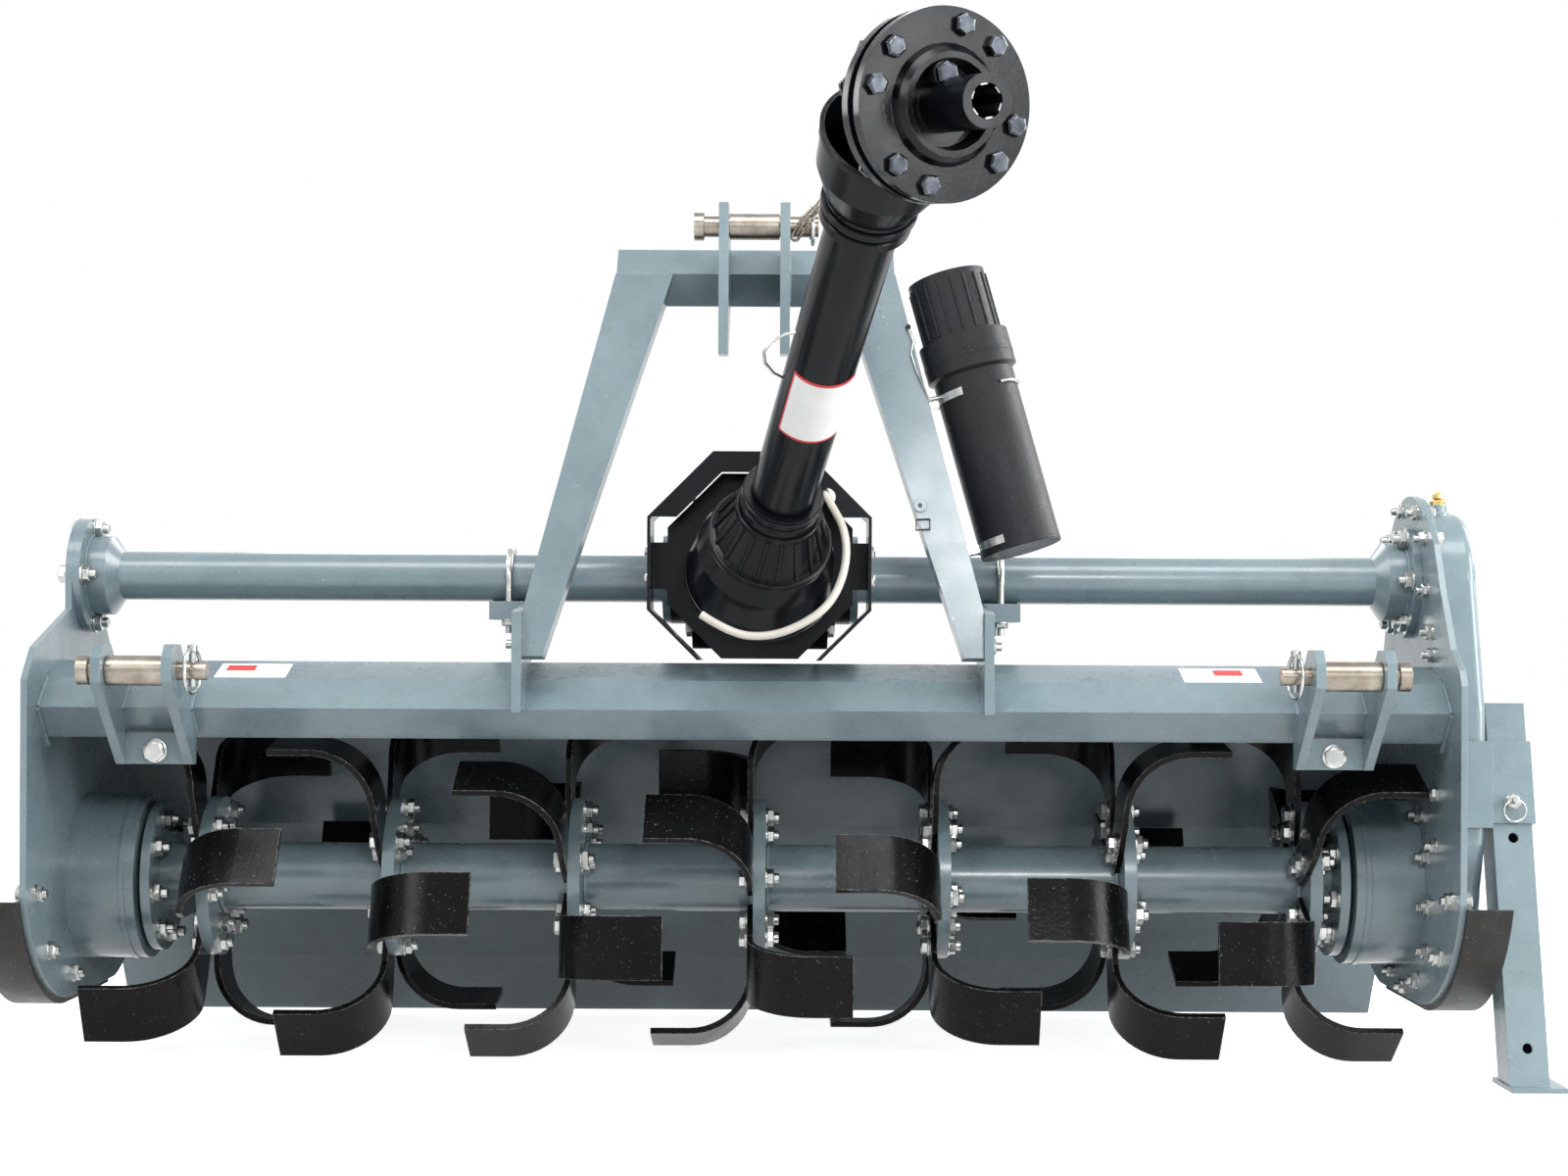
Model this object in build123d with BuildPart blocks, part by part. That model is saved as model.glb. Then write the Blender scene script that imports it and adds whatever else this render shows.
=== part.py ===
from build123d import *
import math
import os

# Rotary tiller on a three-point hitch, in millimetres. X points to the machine's right-hand side as
# seen from the tractor end, Y points to the rear, Z points up. The working frame has its X zero midway
# between the side plates, its Y zero on the rotor axis and its Z zero on the floor. At the end every
# piece is moved so that the origin lies under the middle of the whole machine's box.

os.makedirs("parts", exist_ok=True)

# ---- Driving dimensions ----
ROTOR_Z = 240.0  # rotor axis above the floor
TINE_TIP_R = 239.0  # reach of a tine's leading corner
DRIVE_Y, DRIVE_Z = -10.0, 638.0  # cross drive axis
PLATE_X = 877.0  # inner face of a side plate
PLATE_T = 8.0
SHEET = 5.0  # hood and tailboard sheet
FIT = 0.3  # seat clearance between curved faces

LOBE_R = 75.0  # side plate lobe and drive tube flange
TUBE_R, TUBE_WALL = 32.0, 6.0
TUBE_FLANGE_T = 10.0
COLLAR_R, COLLAR_END, CONE_END = 52.0, 36.0, 50.0  # end distances from the side plate

HOOD_R = 270.0  # inner radius of the hood about the rotor axis
HOOD_FRONT_DEG, HOOD_REAR_DEG = 135.3, 11.0  # from the rear horizontal, over the top

MAST_X = 10.0  # middle of the mast
GEAR_X = 17.0  # middle of the gearbox

# ---- Helpers ----
pieces = {}


def keep(name, part):
    """Files a finished piece under its node name."""
    part.label = name
    pieces[name] = part


def side_plane(x):
    """A plane across the machine at x, with local x to the rear and local y up."""
    return Plane.YZ.offset(x)


def mirror_x(part, middle=0.0):
    """The same piece on the other side of the plane X = middle."""
    return mirror(part, about=Plane.YZ.offset(middle))


def slab(outline, x_low, x_high):
    """A plate across X with the (y, z) outline."""
    with BuildPart() as made:
        with BuildSketch(side_plane(x_low)):
            with BuildLine():
                Polyline(*outline, close=True)
            make_face()
        extrude(amount=x_high - x_low)
    return made.part


def rod(centre, radius, x_low, x_high, bore=0.0):
    """A round bar or tube along X, with its axis at centre (y, z)."""
    with BuildPart() as made:
        with BuildSketch(side_plane(x_low)):
            with Locations(centre):
                Circle(radius)
                if bore:
                    Circle(bore, mode=Mode.SUBTRACT)
        extrude(amount=x_high - x_low)
    return made.part


# ---- Main beam: welded box with a V front, resting on the hood ----
BEAM_RIDGE = (-232.0, 468.0)
BEAM_UPPER = (-192.0, 504.0)
BEAM_BACK = (-125.0, 526.0)
BEAM_FOOT = (-182.0, 418.0)
BEAM_WALL = 6.0
BEAM_SLOPE = (BEAM_BACK[1] - BEAM_UPPER[1]) / (BEAM_BACK[0] - BEAM_UPPER[0])
HOOD_OUTER_R = HOOD_R + SHEET


def beam_top(y):
    """Height of the beam's top sheet at y."""
    return BEAM_UPPER[1] + BEAM_SLOPE * (y - BEAM_UPPER[0])


BEAM_OUTLINE = [
    BEAM_RIDGE,
    BEAM_UPPER,
    BEAM_BACK,
    (BEAM_BACK[0], BEAM_FOOT[1]),
    BEAM_FOOT,
]
with BuildPart() as main_beam:
    with BuildSketch(side_plane(-PLATE_X)):
        with BuildLine():
            Polyline(*BEAM_OUTLINE, close=True)
        make_face()
        with Locations((0, ROTOR_Z)):
            Circle(HOOD_OUTER_R + FIT, mode=Mode.SUBTRACT)
    extrude(amount=2 * PLATE_X)
    with BuildSketch(side_plane(-PLATE_X)):
        with BuildLine():
            Polyline(*BEAM_OUTLINE, close=True)
        make_face()
        offset(amount=-BEAM_WALL, kind=Kind.INTERSECTION)
        with Locations((0, ROTOR_Z)):
            Circle(HOOD_OUTER_R + FIT + BEAM_WALL, mode=Mode.SUBTRACT)
    extrude(amount=2 * PLATE_X, mode=Mode.SUBTRACT)
keep("main_beam", main_beam.part)

# ---- Hood ----
with BuildPart() as hood_shell:
    with BuildSketch(side_plane(-PLATE_X)):
        with BuildLine():
            sweep_deg = HOOD_FRONT_DEG - HOOD_REAR_DEG
            outer = CenterArc((0, ROTOR_Z), HOOD_OUTER_R, HOOD_REAR_DEG, sweep_deg)
            inner = CenterArc((0, ROTOR_Z), HOOD_R, HOOD_REAR_DEG, sweep_deg)
            Line(outer @ 0, inner @ 0)
            Line(outer @ 1, inner @ 1)
        make_face()
    extrude(amount=2 * PLATE_X)
keep("hood_shell", hood_shell.part)

# ---- Side plates ----
PLATE_FRONT_Y, PLATE_REAR_Y = -272.0, 266.0
PLATE_BOTTOM_Z = 88.0
CURVE_START = (PLATE_FRONT_Y, 235.0)
CURVE_MIDDLE = (-212.0, 143.0)
CURVE_END = (-79.0, PLATE_BOTTOM_Z)
REAR_CURVE_START = (130.0, PLATE_BOTTOM_Z)
REAR_CURVE_MIDDLE = (220.0, 132.0)
REAR_CURVE_END = (PLATE_REAR_Y, 220.0)


# front edge above the beam, from the beam's corner up to the lobe
LEFT_NECK = [(-236.0, 542.0), (DRIVE_Y - LOBE_R, 592.0), (DRIVE_Y - LOBE_R, DRIVE_Z)]
RIGHT_NECK = [(-262.0, 522.0), (-222.0, 548.0), (-174.0, 619.0), (-140.0, 683.0), (-98.0, 722.0)]
LOBE_RIGHT_R = 114.0


def side_plate_part(x_low, lobe_r, neck):
    """A side plate: lobe round the drive axis, beam end in front, hood end behind, curved foot."""
    with BuildPart() as made:
        with BuildSketch(side_plane(x_low)):
            with BuildLine():
                Polyline(
                    CURVE_START,
                    (PLATE_FRONT_Y, 503.0),
                    *neck,
                    (DRIVE_Y, DRIVE_Z + lobe_r / 2),
                    (DRIVE_Y + lobe_r, DRIVE_Z),
                    (DRIVE_Y + lobe_r + 4.0, 585.0),
                    (130.0, 515.0),
                    (205.0, 455.0),
                    (PLATE_REAR_Y, 365.0),
                    REAR_CURVE_END,
                )
                ThreePointArc(REAR_CURVE_END, REAR_CURVE_MIDDLE, REAR_CURVE_START)
                Line(REAR_CURVE_START, CURVE_END)
                ThreePointArc(CURVE_END, CURVE_MIDDLE, CURVE_START)
            make_face()
            with Locations((DRIVE_Y, DRIVE_Z)):
                Circle(lobe_r)
        extrude(amount=PLATE_T)
    return made.part


keep("side_plate_left", side_plate_part(-PLATE_X - PLATE_T, LOBE_R, LEFT_NECK))
keep("side_plate_right", side_plate_part(PLATE_X, LOBE_RIGHT_R, RIGHT_NECK))

# ---- Gear case outside the right plate ----
FLANGE_PLATE_X = PLATE_X + PLATE_T
FLANGE_PLATE_T = 6.0
CASE_X = FLANGE_PLATE_X + FLANGE_PLATE_T
CASE_END = 945.0
CASE_TOP_R, CASE_FOOT_R = 90.0, 128.0
CASE_FRONT = [
    (DRIVE_Y - CASE_TOP_R, DRIVE_Z),
    (-146.0, 470.0),
    (-146.0, 300.0),
    (-CASE_FOOT_R, ROTOR_Z),
]
CASE_RIM = 22.0
CASE_ROUND = 14.0


def case_part(x_low, x_high, grow):
    """The outline round the gear train, grown by a rim, as one closed block."""
    with BuildPart() as made:
        with BuildSketch(side_plane(x_low)):
            with Locations((DRIVE_Y, DRIVE_Z)):
                Circle(CASE_TOP_R + grow)
            with Locations((0, ROTOR_Z)):
                Circle(CASE_FOOT_R + grow)
            with BuildLine():
                Polyline(
                    *[(y - grow, z) for y, z in CASE_FRONT],
                    (CASE_FOOT_R + grow, ROTOR_Z),
                    (DRIVE_Y + CASE_TOP_R + grow, DRIVE_Z),
                    close=True,
                )
            make_face()
        extrude(amount=x_high - x_low)
    return made.part


keep("gearcase_flange", case_part(FLANGE_PLATE_X, CASE_X, CASE_RIM))
with BuildPart() as gearcase:
    add(case_part(CASE_X, CASE_END, 0.0))
    fillet(gearcase.faces().sort_by(Axis.X)[-1].edges(), CASE_ROUND)
keep("gearcase", gearcase.part)

# ---- Gearbox with its side snouts ----
GEARBOX_HALF_X, GEARBOX_FRONT_Y, GEARBOX_REAR_Y = 88.0, -88.0, 92.0
GEARBOX_LOW_Z, GEARBOX_HIGH_Z = 545.0, 742.0
SNOUT_R, SNOUT_END = 60.0, 118.0
INPUT_SNOUT_R, INPUT_SNOUT_Y = 56.0, -122.0
with BuildPart() as gearbox:
    with BuildSketch(side_plane(GEAR_X - GEARBOX_HALF_X)):
        with Locations(
            ((GEARBOX_FRONT_Y + GEARBOX_REAR_Y) / 2, (GEARBOX_LOW_Z + GEARBOX_HIGH_Z) / 2)
        ):
            RectangleRounded(
                GEARBOX_REAR_Y - GEARBOX_FRONT_Y, GEARBOX_HIGH_Z - GEARBOX_LOW_Z, 30.0
            )
    extrude(amount=2 * GEARBOX_HALF_X)
    with BuildSketch(side_plane(GEAR_X - SNOUT_END)):
        with Locations((DRIVE_Y, DRIVE_Z)):
            Circle(SNOUT_R)
    extrude(amount=2 * SNOUT_END)
    with BuildSketch(Plane.XZ.offset(-GEARBOX_FRONT_Y - 10.0)):
        with Locations((GEAR_X, DRIVE_Z)):
            Circle(INPUT_SNOUT_R)
    extrude(amount=GEARBOX_FRONT_Y - INPUT_SNOUT_Y + 10.0)
keep("gearbox", gearbox.part)

# ---- Cross drive tubes ----
for name, x_inner, x_outer in (
    ("drive_tube_left", GEAR_X - SNOUT_END, -PLATE_X),
    ("drive_tube_right", GEAR_X + SNOUT_END, PLATE_X),
):
    side = math.copysign(1.0, x_outer)
    low, high = min(x_inner, x_outer), max(x_inner, x_outer)
    with BuildPart() as drive_tube:
        add(rod((DRIVE_Y, DRIVE_Z), TUBE_R, low, high))
        # end flanges, and the turned collar beside the side plate: from the end face inward
        for face_x, inward, radius in (
            (x_inner, side * TUBE_FLANGE_T, SNOUT_R),
            (x_outer, -side * TUBE_FLANGE_T, LOBE_R),
            (x_outer, -side * COLLAR_END, COLLAR_R),
        ):
            add(rod((DRIVE_Y, DRIVE_Z), radius, *sorted((face_x, face_x + inward))))
        with BuildSketch(side_plane(x_outer - side * COLLAR_END)):
            with Locations((DRIVE_Y, DRIVE_Z)):
                Circle(COLLAR_R)
        with BuildSketch(side_plane(x_outer - side * CONE_END)):
            with Locations((DRIVE_Y, DRIVE_Z)):
                Circle(TUBE_R)
        loft()
        add(rod((DRIVE_Y, DRIVE_Z), TUBE_R - TUBE_WALL, low, high), mode=Mode.SUBTRACT)
    keep(name, drive_tube.part)

# ---- Guard tunnel round the gearbox input ----
GUARD_FLATS, GUARD_T = 281.0, 4.0
GUARD_FRONT_Y, GUARD_REAR_Y = -205.0, -112.0
GUARD_Z = 651.0
GUARD_CLIP_Z = 530.0
GUARD_PLATE_FLATS = 238.0
GUARD_LIP = 26.0  # inward lip along the front of the three upper sides
HOSE_NOTCH_X, HOSE_NOTCH_Z, HOSE_NOTCH_R = 101.0, 735.0, 11.0  # in the lip, for the hose
GUARD_TAB = 60.0


def octagon(flats, mode=Mode.ADD):
    """A regular eight-sided face, flat side up."""
    return RegularPolygon(flats / 2, 8, major_radius=False, rotation=22.5, mode=mode)


with BuildPart() as pto_guard:
    with BuildSketch(Plane.XZ.offset(-GUARD_REAR_Y)):
        with Locations((GEAR_X, GUARD_Z)):
            octagon(GUARD_FLATS)
            octagon(GUARD_FLATS - 2 * GUARD_T)
    extrude(amount=GUARD_REAR_Y - GUARD_FRONT_Y)
    with BuildSketch(Plane.XZ.offset(-GUARD_REAR_Y)):
        with Locations((GEAR_X, GUARD_Z)):
            octagon(GUARD_FLATS - 2 * GUARD_T)
    extrude(amount=GUARD_REAR_Y - GUARD_FRONT_Y, mode=Mode.SUBTRACT)
    with BuildSketch(Plane.XZ.offset(-GUARD_REAR_Y)):
        with Locations((GEAR_X, GUARD_Z)):
            octagon(GUARD_PLATE_FLATS)
            Rectangle(GUARD_FLATS - GUARD_T, GUARD_TAB)
        with Locations((GEAR_X, DRIVE_Z)):
            Circle(INPUT_SNOUT_R, mode=Mode.SUBTRACT)
    extrude(amount=GUARD_T)
    with BuildSketch(Plane.XZ.offset(-GUARD_FRONT_Y - GUARD_T)):
        with Locations((GEAR_X, GUARD_Z)):
            octagon(GUARD_FLATS - GUARD_T)
            octagon(GUARD_FLATS - 2 * GUARD_LIP, mode=Mode.SUBTRACT)
        with Locations((GEAR_X, GUARD_Z - 200 + GUARD_FLATS / 2 * math.tan(math.pi / 8))):
            Rectangle(500, 400, mode=Mode.SUBTRACT)
        with Locations((HOSE_NOTCH_X, HOSE_NOTCH_Z)):
            Circle(HOSE_NOTCH_R, mode=Mode.SUBTRACT)
    extrude(amount=GUARD_T)
    with Locations((GEAR_X, 0, GUARD_CLIP_Z - 100)):
        Box(500, 800, 200, mode=Mode.SUBTRACT)
keep("pto_guard", pto_guard.part)

# ---- Mast ----
MAST_TUBE = 50.8
MAST_WALL = 5.0
MAST_TUBE_Y, MAST_TUBE_Z = -144.0, 1016.5
MAST_TUBE_HALF = 175.0
MAST_HALF_DIAG = MAST_TUBE / math.sqrt(2)


def diamond(size, x_low, x_high):
    """A square bar along X, standing on its edge, on the mast tube's axis."""
    with BuildPart() as made:
        with BuildSketch(side_plane(x_low)):
            with Locations((MAST_TUBE_Y, MAST_TUBE_Z)):
                Rectangle(size, size, rotation=45)
        extrude(amount=x_high - x_low)
    return made.part


with BuildPart() as mast_top_tube:
    add(diamond(MAST_TUBE, MAST_X - MAST_TUBE_HALF, MAST_X + MAST_TUBE_HALF))
    add(
        diamond(
            MAST_TUBE - 2 * MAST_WALL,
            MAST_X - MAST_TUBE_HALF + MAST_WALL,
            MAST_X + MAST_TUBE_HALF - MAST_WALL,
        ),
        mode=Mode.SUBTRACT,
    )
keep("mast_top_tube", mast_top_tube.part)

# base plates, upright across X, from the beam's ridge back to the drive tube
BASE_HALF, BASE_T = 298.0, 12.0
SADDLE_REACH, SADDLE_Y = 50.0, 46.0
SADDLE_TOP = DRIVE_Z - TUBE_R - FIT
SADDLE_LOW = SADDLE_TOP - 24.0
BASE_FRONT_Y = -246.0
BASE_OUTLINE = [
    (BASE_FRONT_Y, 464.0),
    (BASE_FRONT_Y, 589.0),
    (-70.0, SADDLE_TOP),
    (DRIVE_Y + SADDLE_Y, SADDLE_TOP),
    (DRIVE_Y + SADDLE_Y, SADDLE_LOW),
    (-70.0, 552.0),
    (BEAM_BACK[0] + 10.0, BEAM_BACK[1] + 3.0),
    (BEAM_BACK[0], BEAM_BACK[1]),
    BEAM_UPPER,
    BEAM_RIDGE,
]


def mast_base_part(side):
    """A base plate with its saddle under the drive tube; side is -1 left, 1 right."""
    outer = MAST_X + side * BASE_HALF
    inner = outer - side * BASE_T
    reach = outer + side * SADDLE_REACH
    with BuildPart() as made:
        add(slab(BASE_OUTLINE, min(outer, inner), max(outer, inner)))
        with Locations(((outer + reach) / 2, DRIVE_Y, (SADDLE_TOP + SADDLE_LOW) / 2)):
            Box(SADDLE_REACH, 2 * SADDLE_Y, SADDLE_TOP - SADDLE_LOW)
    return made.part


keep("mast_base_left", mast_base_part(-1))
keep("mast_base_right", mast_base_part(1))

# legs, tapered, leaning back from the base plates to the top tube
LEG_DEPTH = 38.0
LEG_FOOT_Y, LEG_FOOT_Z = -236.0, 534.0
LEG_TOP_Y = MAST_TUBE_Y - MAST_HALF_DIAG
LEG_TOP_Z = MAST_TUBE_Z + 4.0
LEG_FOOT_W = 25.0
LEG_FOOT_INNER = BASE_HALF - BASE_T - LEG_FOOT_W
LEG_OUTER_Z = 592.0
LEG_TOP_W = 73.0
LEG_TOP_INNER = MAST_TUBE_HALF - LEG_TOP_W
LEG_LEAN = math.atan2(LEG_TOP_Y - LEG_FOOT_Y, LEG_TOP_Z - LEG_FOOT_Z)


def mast_leg_part(side):
    """A leg from its foot against the base plate to the top tube; side is -1 left, 1 right."""
    slope = math.cos(LEG_LEAN)
    outer_foot = BASE_HALF - BASE_T - FIT / 10
    top = (LEG_TOP_Z - LEG_FOOT_Z) / slope
    outline = [
        (side * LEG_FOOT_INNER, 0.0),
        (side * outer_foot, 0.0),
        (side * outer_foot, (LEG_OUTER_Z - LEG_FOOT_Z) / slope),
        (side * MAST_TUBE_HALF, top),
        (side * LEG_TOP_INNER, top),
    ]
    plane = Plane(
        origin=(MAST_X, LEG_FOOT_Y, LEG_FOOT_Z),
        x_dir=(1, 0, 0),
        z_dir=(0, -math.cos(LEG_LEAN), math.sin(LEG_LEAN)),
    )
    past = MAST_TUBE_HALF + LEG_DEPTH
    with BuildPart() as made:
        with BuildSketch(plane):
            with BuildLine():
                Polyline(*outline, close=True)
            make_face()
        extrude(amount=-LEG_DEPTH)
        with BuildSketch(plane.offset(-MAST_WALL)):
            with BuildLine():
                Polyline(*outline, close=True)
            make_face()
            offset(amount=-MAST_WALL, kind=Kind.INTERSECTION)
        extrude(amount=-(LEG_DEPTH - 2 * MAST_WALL), mode=Mode.SUBTRACT)
        add(
            diamond(MAST_TUBE, MAST_X - past, MAST_X + past),
            mode=Mode.SUBTRACT,
        )
        with Locations((MAST_X, MAST_TUBE_Y, MAST_TUBE_Z + MAST_TUBE)):
            Box(2 * past, 4 * MAST_TUBE, 2 * MAST_TUBE, mode=Mode.SUBTRACT)
    return made.part


keep("mast_leg_left", mast_leg_part(-1))
keep("mast_leg_right", mast_leg_part(1))

# top link clevis
CLEVIS_HALF, CLEVIS_T = 43.4, 12.0
CLEVIS_FRONT_Y = -296.0
TOP_PIN_Y, TOP_PIN_Z = -268.0, 1061.0
TOP_PIN_R, TOP_BUSH_R = 12.7, 15.9
CLEVIS_OUTLINE = [
    (CLEVIS_FRONT_Y, 902.0),
    (CLEVIS_FRONT_Y, 1086.0),
    (-205.0, 1086.0),
    (MAST_TUBE_Y - 6.0, MAST_TUBE_Z + MAST_HALF_DIAG - 6.0),
    (LEG_TOP_Y, MAST_TUBE_Z),
    (MAST_TUBE_Y - 6.0, MAST_TUBE_Z - MAST_HALF_DIAG + 6.0),
    (-270.0, 902.0),
]
with BuildPart() as top_link_clevis:
    for middle in (-CLEVIS_HALF + CLEVIS_T / 2, CLEVIS_HALF - CLEVIS_T / 2):
        add(
            slab(
                CLEVIS_OUTLINE,
                MAST_X + middle - CLEVIS_T / 2,
                MAST_X + middle + CLEVIS_T / 2,
            )
        )
    add(
        rod((TOP_PIN_Y, TOP_PIN_Z), TOP_PIN_R + FIT, MAST_X - 60, MAST_X + 60),
        mode=Mode.SUBTRACT,
    )
keep("top_link_clevis", top_link_clevis.part)

TOP_PIN_LEFT, TOP_PIN_RIGHT = -62.0, 78.0
TOP_HEAD_T, TOP_HEAD_R = 12.0, 17.0
with BuildPart() as top_link_pin:
    add(rod((TOP_PIN_Y, TOP_PIN_Z), TOP_PIN_R, MAST_X + TOP_PIN_LEFT, MAST_X + TOP_PIN_RIGHT))
    add(
        rod(
            (TOP_PIN_Y, TOP_PIN_Z),
            TOP_HEAD_R,
            MAST_X + TOP_PIN_LEFT - TOP_HEAD_T,
            MAST_X + TOP_PIN_LEFT,
        )
    )
keep("top_link_pin", top_link_pin.part)
BUSH_END_GAP = 1.0
bush_half = CLEVIS_HALF - CLEVIS_T - BUSH_END_GAP
keep(
    "top_link_bushing",
    rod(
        (TOP_PIN_Y, TOP_PIN_Z),
        TOP_BUSH_R,
        MAST_X - bush_half,
        MAST_X + bush_half,
        TOP_PIN_R + FIT,
    ),
)

# ---- Lower hitch brackets at both ends of the beam ----
HITCH_INNER, HITCH_OUTER = 686.0, 783.0  # outside faces of a bracket's two plates
HITCH_T = 12.0
HITCH_PIN_Y, HITCH_PIN_Z = -300.0, 514.0
HITCH_PIN_R, HITCH_BUSH_R = 11.1, 18.25
HITCH_FRONT_Y, HITCH_TOP_Z = -334.0, 546.0
HITCH_FOOT_Z, HITCH_FOOT_Y = 397.0, -216.0
HITCH_WEB_TOP, HITCH_WEB_T = 436.0, 8.0
HITCH_OUTLINE = [
    (HITCH_FOOT_Y, HITCH_FOOT_Z),
    (HITCH_FRONT_Y, HITCH_PIN_Z - 14.0),
    (HITCH_FRONT_Y, HITCH_PIN_Z + 16.0),
    (HITCH_FRONT_Y + 16.0, HITCH_TOP_Z),
    (HITCH_PIN_Y + 16.0, HITCH_TOP_Z),
    (HITCH_PIN_Y + 34.0, HITCH_TOP_Z - 18.0),
    BEAM_UPPER,
    BEAM_RIDGE,
    (-202.0, 438.0),
    (-202.0, HITCH_FOOT_Z),
]
HITCH_PIN_OUT, HITCH_PIN_IN = 792.0, 650.0
HITCH_HEAD_T, HITCH_HEAD_R = 14.0, 17.5


def hitch_bracket_part(side):
    """A bracket's two plates, joined by the web that bolts to the beam; side is -1 left, 1 right."""
    with BuildPart() as made:
        for face in (HITCH_INNER, HITCH_OUTER - HITCH_T):
            low = min(side * face, side * (face + HITCH_T))
            add(slab(HITCH_OUTLINE, low, low + HITCH_T))
        add(
            slab(
                [
                    (HITCH_FOOT_Y + 6.0, HITCH_FOOT_Z),
                    (HITCH_FOOT_Y + 6.0, HITCH_WEB_TOP),
                    (HITCH_FOOT_Y + 6.0 + HITCH_WEB_T, HITCH_WEB_TOP),
                    (HITCH_FOOT_Y + 6.0 + HITCH_WEB_T, HITCH_FOOT_Z),
                ],
                min(side * HITCH_INNER, side * HITCH_OUTER) + 1.0,
                max(side * HITCH_INNER, side * HITCH_OUTER) - 1.0,
            )
        )
        add(
            rod(
                (HITCH_PIN_Y, HITCH_PIN_Z),
                HITCH_PIN_R + FIT,
                min(side * HITCH_INNER, side * HITCH_OUTER) - 5,
                max(side * HITCH_INNER, side * HITCH_OUTER) + 5,
            ),
            mode=Mode.SUBTRACT,
        )
    return made.part


def hitch_pin_part(side):
    """A lower hitch pin with its head outboard."""
    shank = sorted((side * HITCH_PIN_IN, side * HITCH_PIN_OUT))
    head = sorted((side * HITCH_PIN_OUT, side * (HITCH_PIN_OUT + HITCH_HEAD_T)))
    with BuildPart() as made:
        add(rod((HITCH_PIN_Y, HITCH_PIN_Z), HITCH_PIN_R, *shank))
        add(rod((HITCH_PIN_Y, HITCH_PIN_Z), HITCH_HEAD_R, *head))
    return made.part


def hitch_bushing_part(side):
    """The sleeve between a bracket's plates."""
    gap = sorted(
        (
            side * (HITCH_INNER + HITCH_T + BUSH_END_GAP),
            side * (HITCH_OUTER - HITCH_T - BUSH_END_GAP),
        )
    )
    return rod((HITCH_PIN_Y, HITCH_PIN_Z), HITCH_BUSH_R, *gap, HITCH_PIN_R + FIT)


for word, side in (("left", -1), ("right", 1)):
    keep("hitch_bracket_" + word, hitch_bracket_part(side))
    keep("hitch_pin_" + word, hitch_pin_part(side))
    keep("hitch_bushing_" + word, hitch_bushing_part(side))

# ---- Skids outside the side plates ----
SKID_W, SKID_T = 55.0, 8.0
SKID_FLANGE_T, SKID_FLANGE_H = 6.0, 55.0
SKID_CASE_GAP = 5.0


def skid_profile(drop):
    """The skid's curve, dropped below the side plate's foot, as line and arc objects."""
    start = (CURVE_START[0] - drop, CURVE_START[1] - 5.0)
    middle = (CURVE_MIDDLE[0] - 0.77 * drop, CURVE_MIDDLE[1] - 0.64 * drop)
    end = (CURVE_END[0], CURVE_END[1] - drop)
    tail = (REAR_CURVE_START[0], REAR_CURVE_START[1] - drop)
    return start, middle, end, tail


def skid_part(side):
    """The worn runner with its upright flange; side is -1 left, 1 right."""
    inner, outer = PLATE_X + PLATE_T, PLATE_X + PLATE_T + SKID_W
    low = min(side * inner, side * outer)
    flange_low = min(side * inner, side * (inner + SKID_FLANGE_T))
    a, b, c, d = skid_profile(FIT)
    e, f, g, h = skid_profile(FIT + SKID_T)
    p, q, r, s = skid_profile(FIT - SKID_FLANGE_H)
    with BuildPart() as made:
        with BuildSketch(side_plane(low)):
            with BuildLine():
                ThreePointArc(a, b, c)
                Line(c, d)
                Line(d, h)
                Line(h, g)
                ThreePointArc(g, f, e)
                Line(e, a)
            make_face()
        extrude(amount=SKID_W)
        with BuildSketch(side_plane(flange_low)):
            with BuildLine():
                ThreePointArc(a, b, c)
                Line(c, d)
                Line(d, s)
                Line(s, r)
                ThreePointArc(r, q, p)
                Line(p, a)
            make_face()
        extrude(amount=SKID_FLANGE_T)
        if side > 0:  # cleared round the gear case
            case_clear = CASE_FOOT_R + CASE_RIM + SKID_CASE_GAP
            add(rod((0, ROTOR_Z), case_clear, low - 1, low + SKID_W + 1), mode=Mode.SUBTRACT)
    return made.part


keep("skid_left", skid_part(-1))
keep("skid_right", skid_part(1))

# ---- Rotor ----
HUB_R, HUB_LENGTH = 109.0, 88.0
HUB_GAP = 6.0
STUB_R, STUB_END = 30.0, PLATE_X - 8.0
ROTOR_TUBE_R, ROTOR_TUBE_WALL = 44.5, 8.0
END_FLANGE_R, END_FLANGE_T = 99.0, 12.0
FLANGE_R, FLANGE_T = 105.0, 16.0
FLANGE_COUNT = 7
FLANGE_PITCH = 240.0
FLANGE_MIDDLE = 18.0
FLANGES = [
    FLANGE_MIDDLE + FLANGE_PITCH * (i - (FLANGE_COUNT - 1) / 2) for i in range(FLANGE_COUNT)
]
ROTOR_END = PLATE_X - HUB_LENGTH - HUB_GAP

for word, side in (("left", -1), ("right", 1)):
    ends = sorted((side * PLATE_X, side * (PLATE_X - HUB_LENGTH)))
    keep("bearing_hub_" + word, rod((0, ROTOR_Z), HUB_R, *ends, STUB_R + FIT))

with BuildPart() as rotor_shaft:
    add(rod((0, ROTOR_Z), ROTOR_TUBE_R, -ROTOR_END, ROTOR_END))
    add(
        rod((0, ROTOR_Z), ROTOR_TUBE_R - ROTOR_TUBE_WALL, -ROTOR_END, ROTOR_END),
        mode=Mode.SUBTRACT,
    )
    for end in (-ROTOR_END, ROTOR_END - END_FLANGE_T):
        add(rod((0, ROTOR_Z), END_FLANGE_R, end, end + END_FLANGE_T))
    for ends in ((-STUB_END, -ROTOR_END), (ROTOR_END, STUB_END)):
        add(rod((0, ROTOR_Z), STUB_R, *ends))
    for x in FLANGES:
        add(rod((0, ROTOR_Z), FLANGE_R, x - FLANGE_T / 2, x + FLANGE_T / 2, ROTOR_TUBE_R - 1))
keep("rotor_shaft", rotor_shaft.part)

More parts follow.
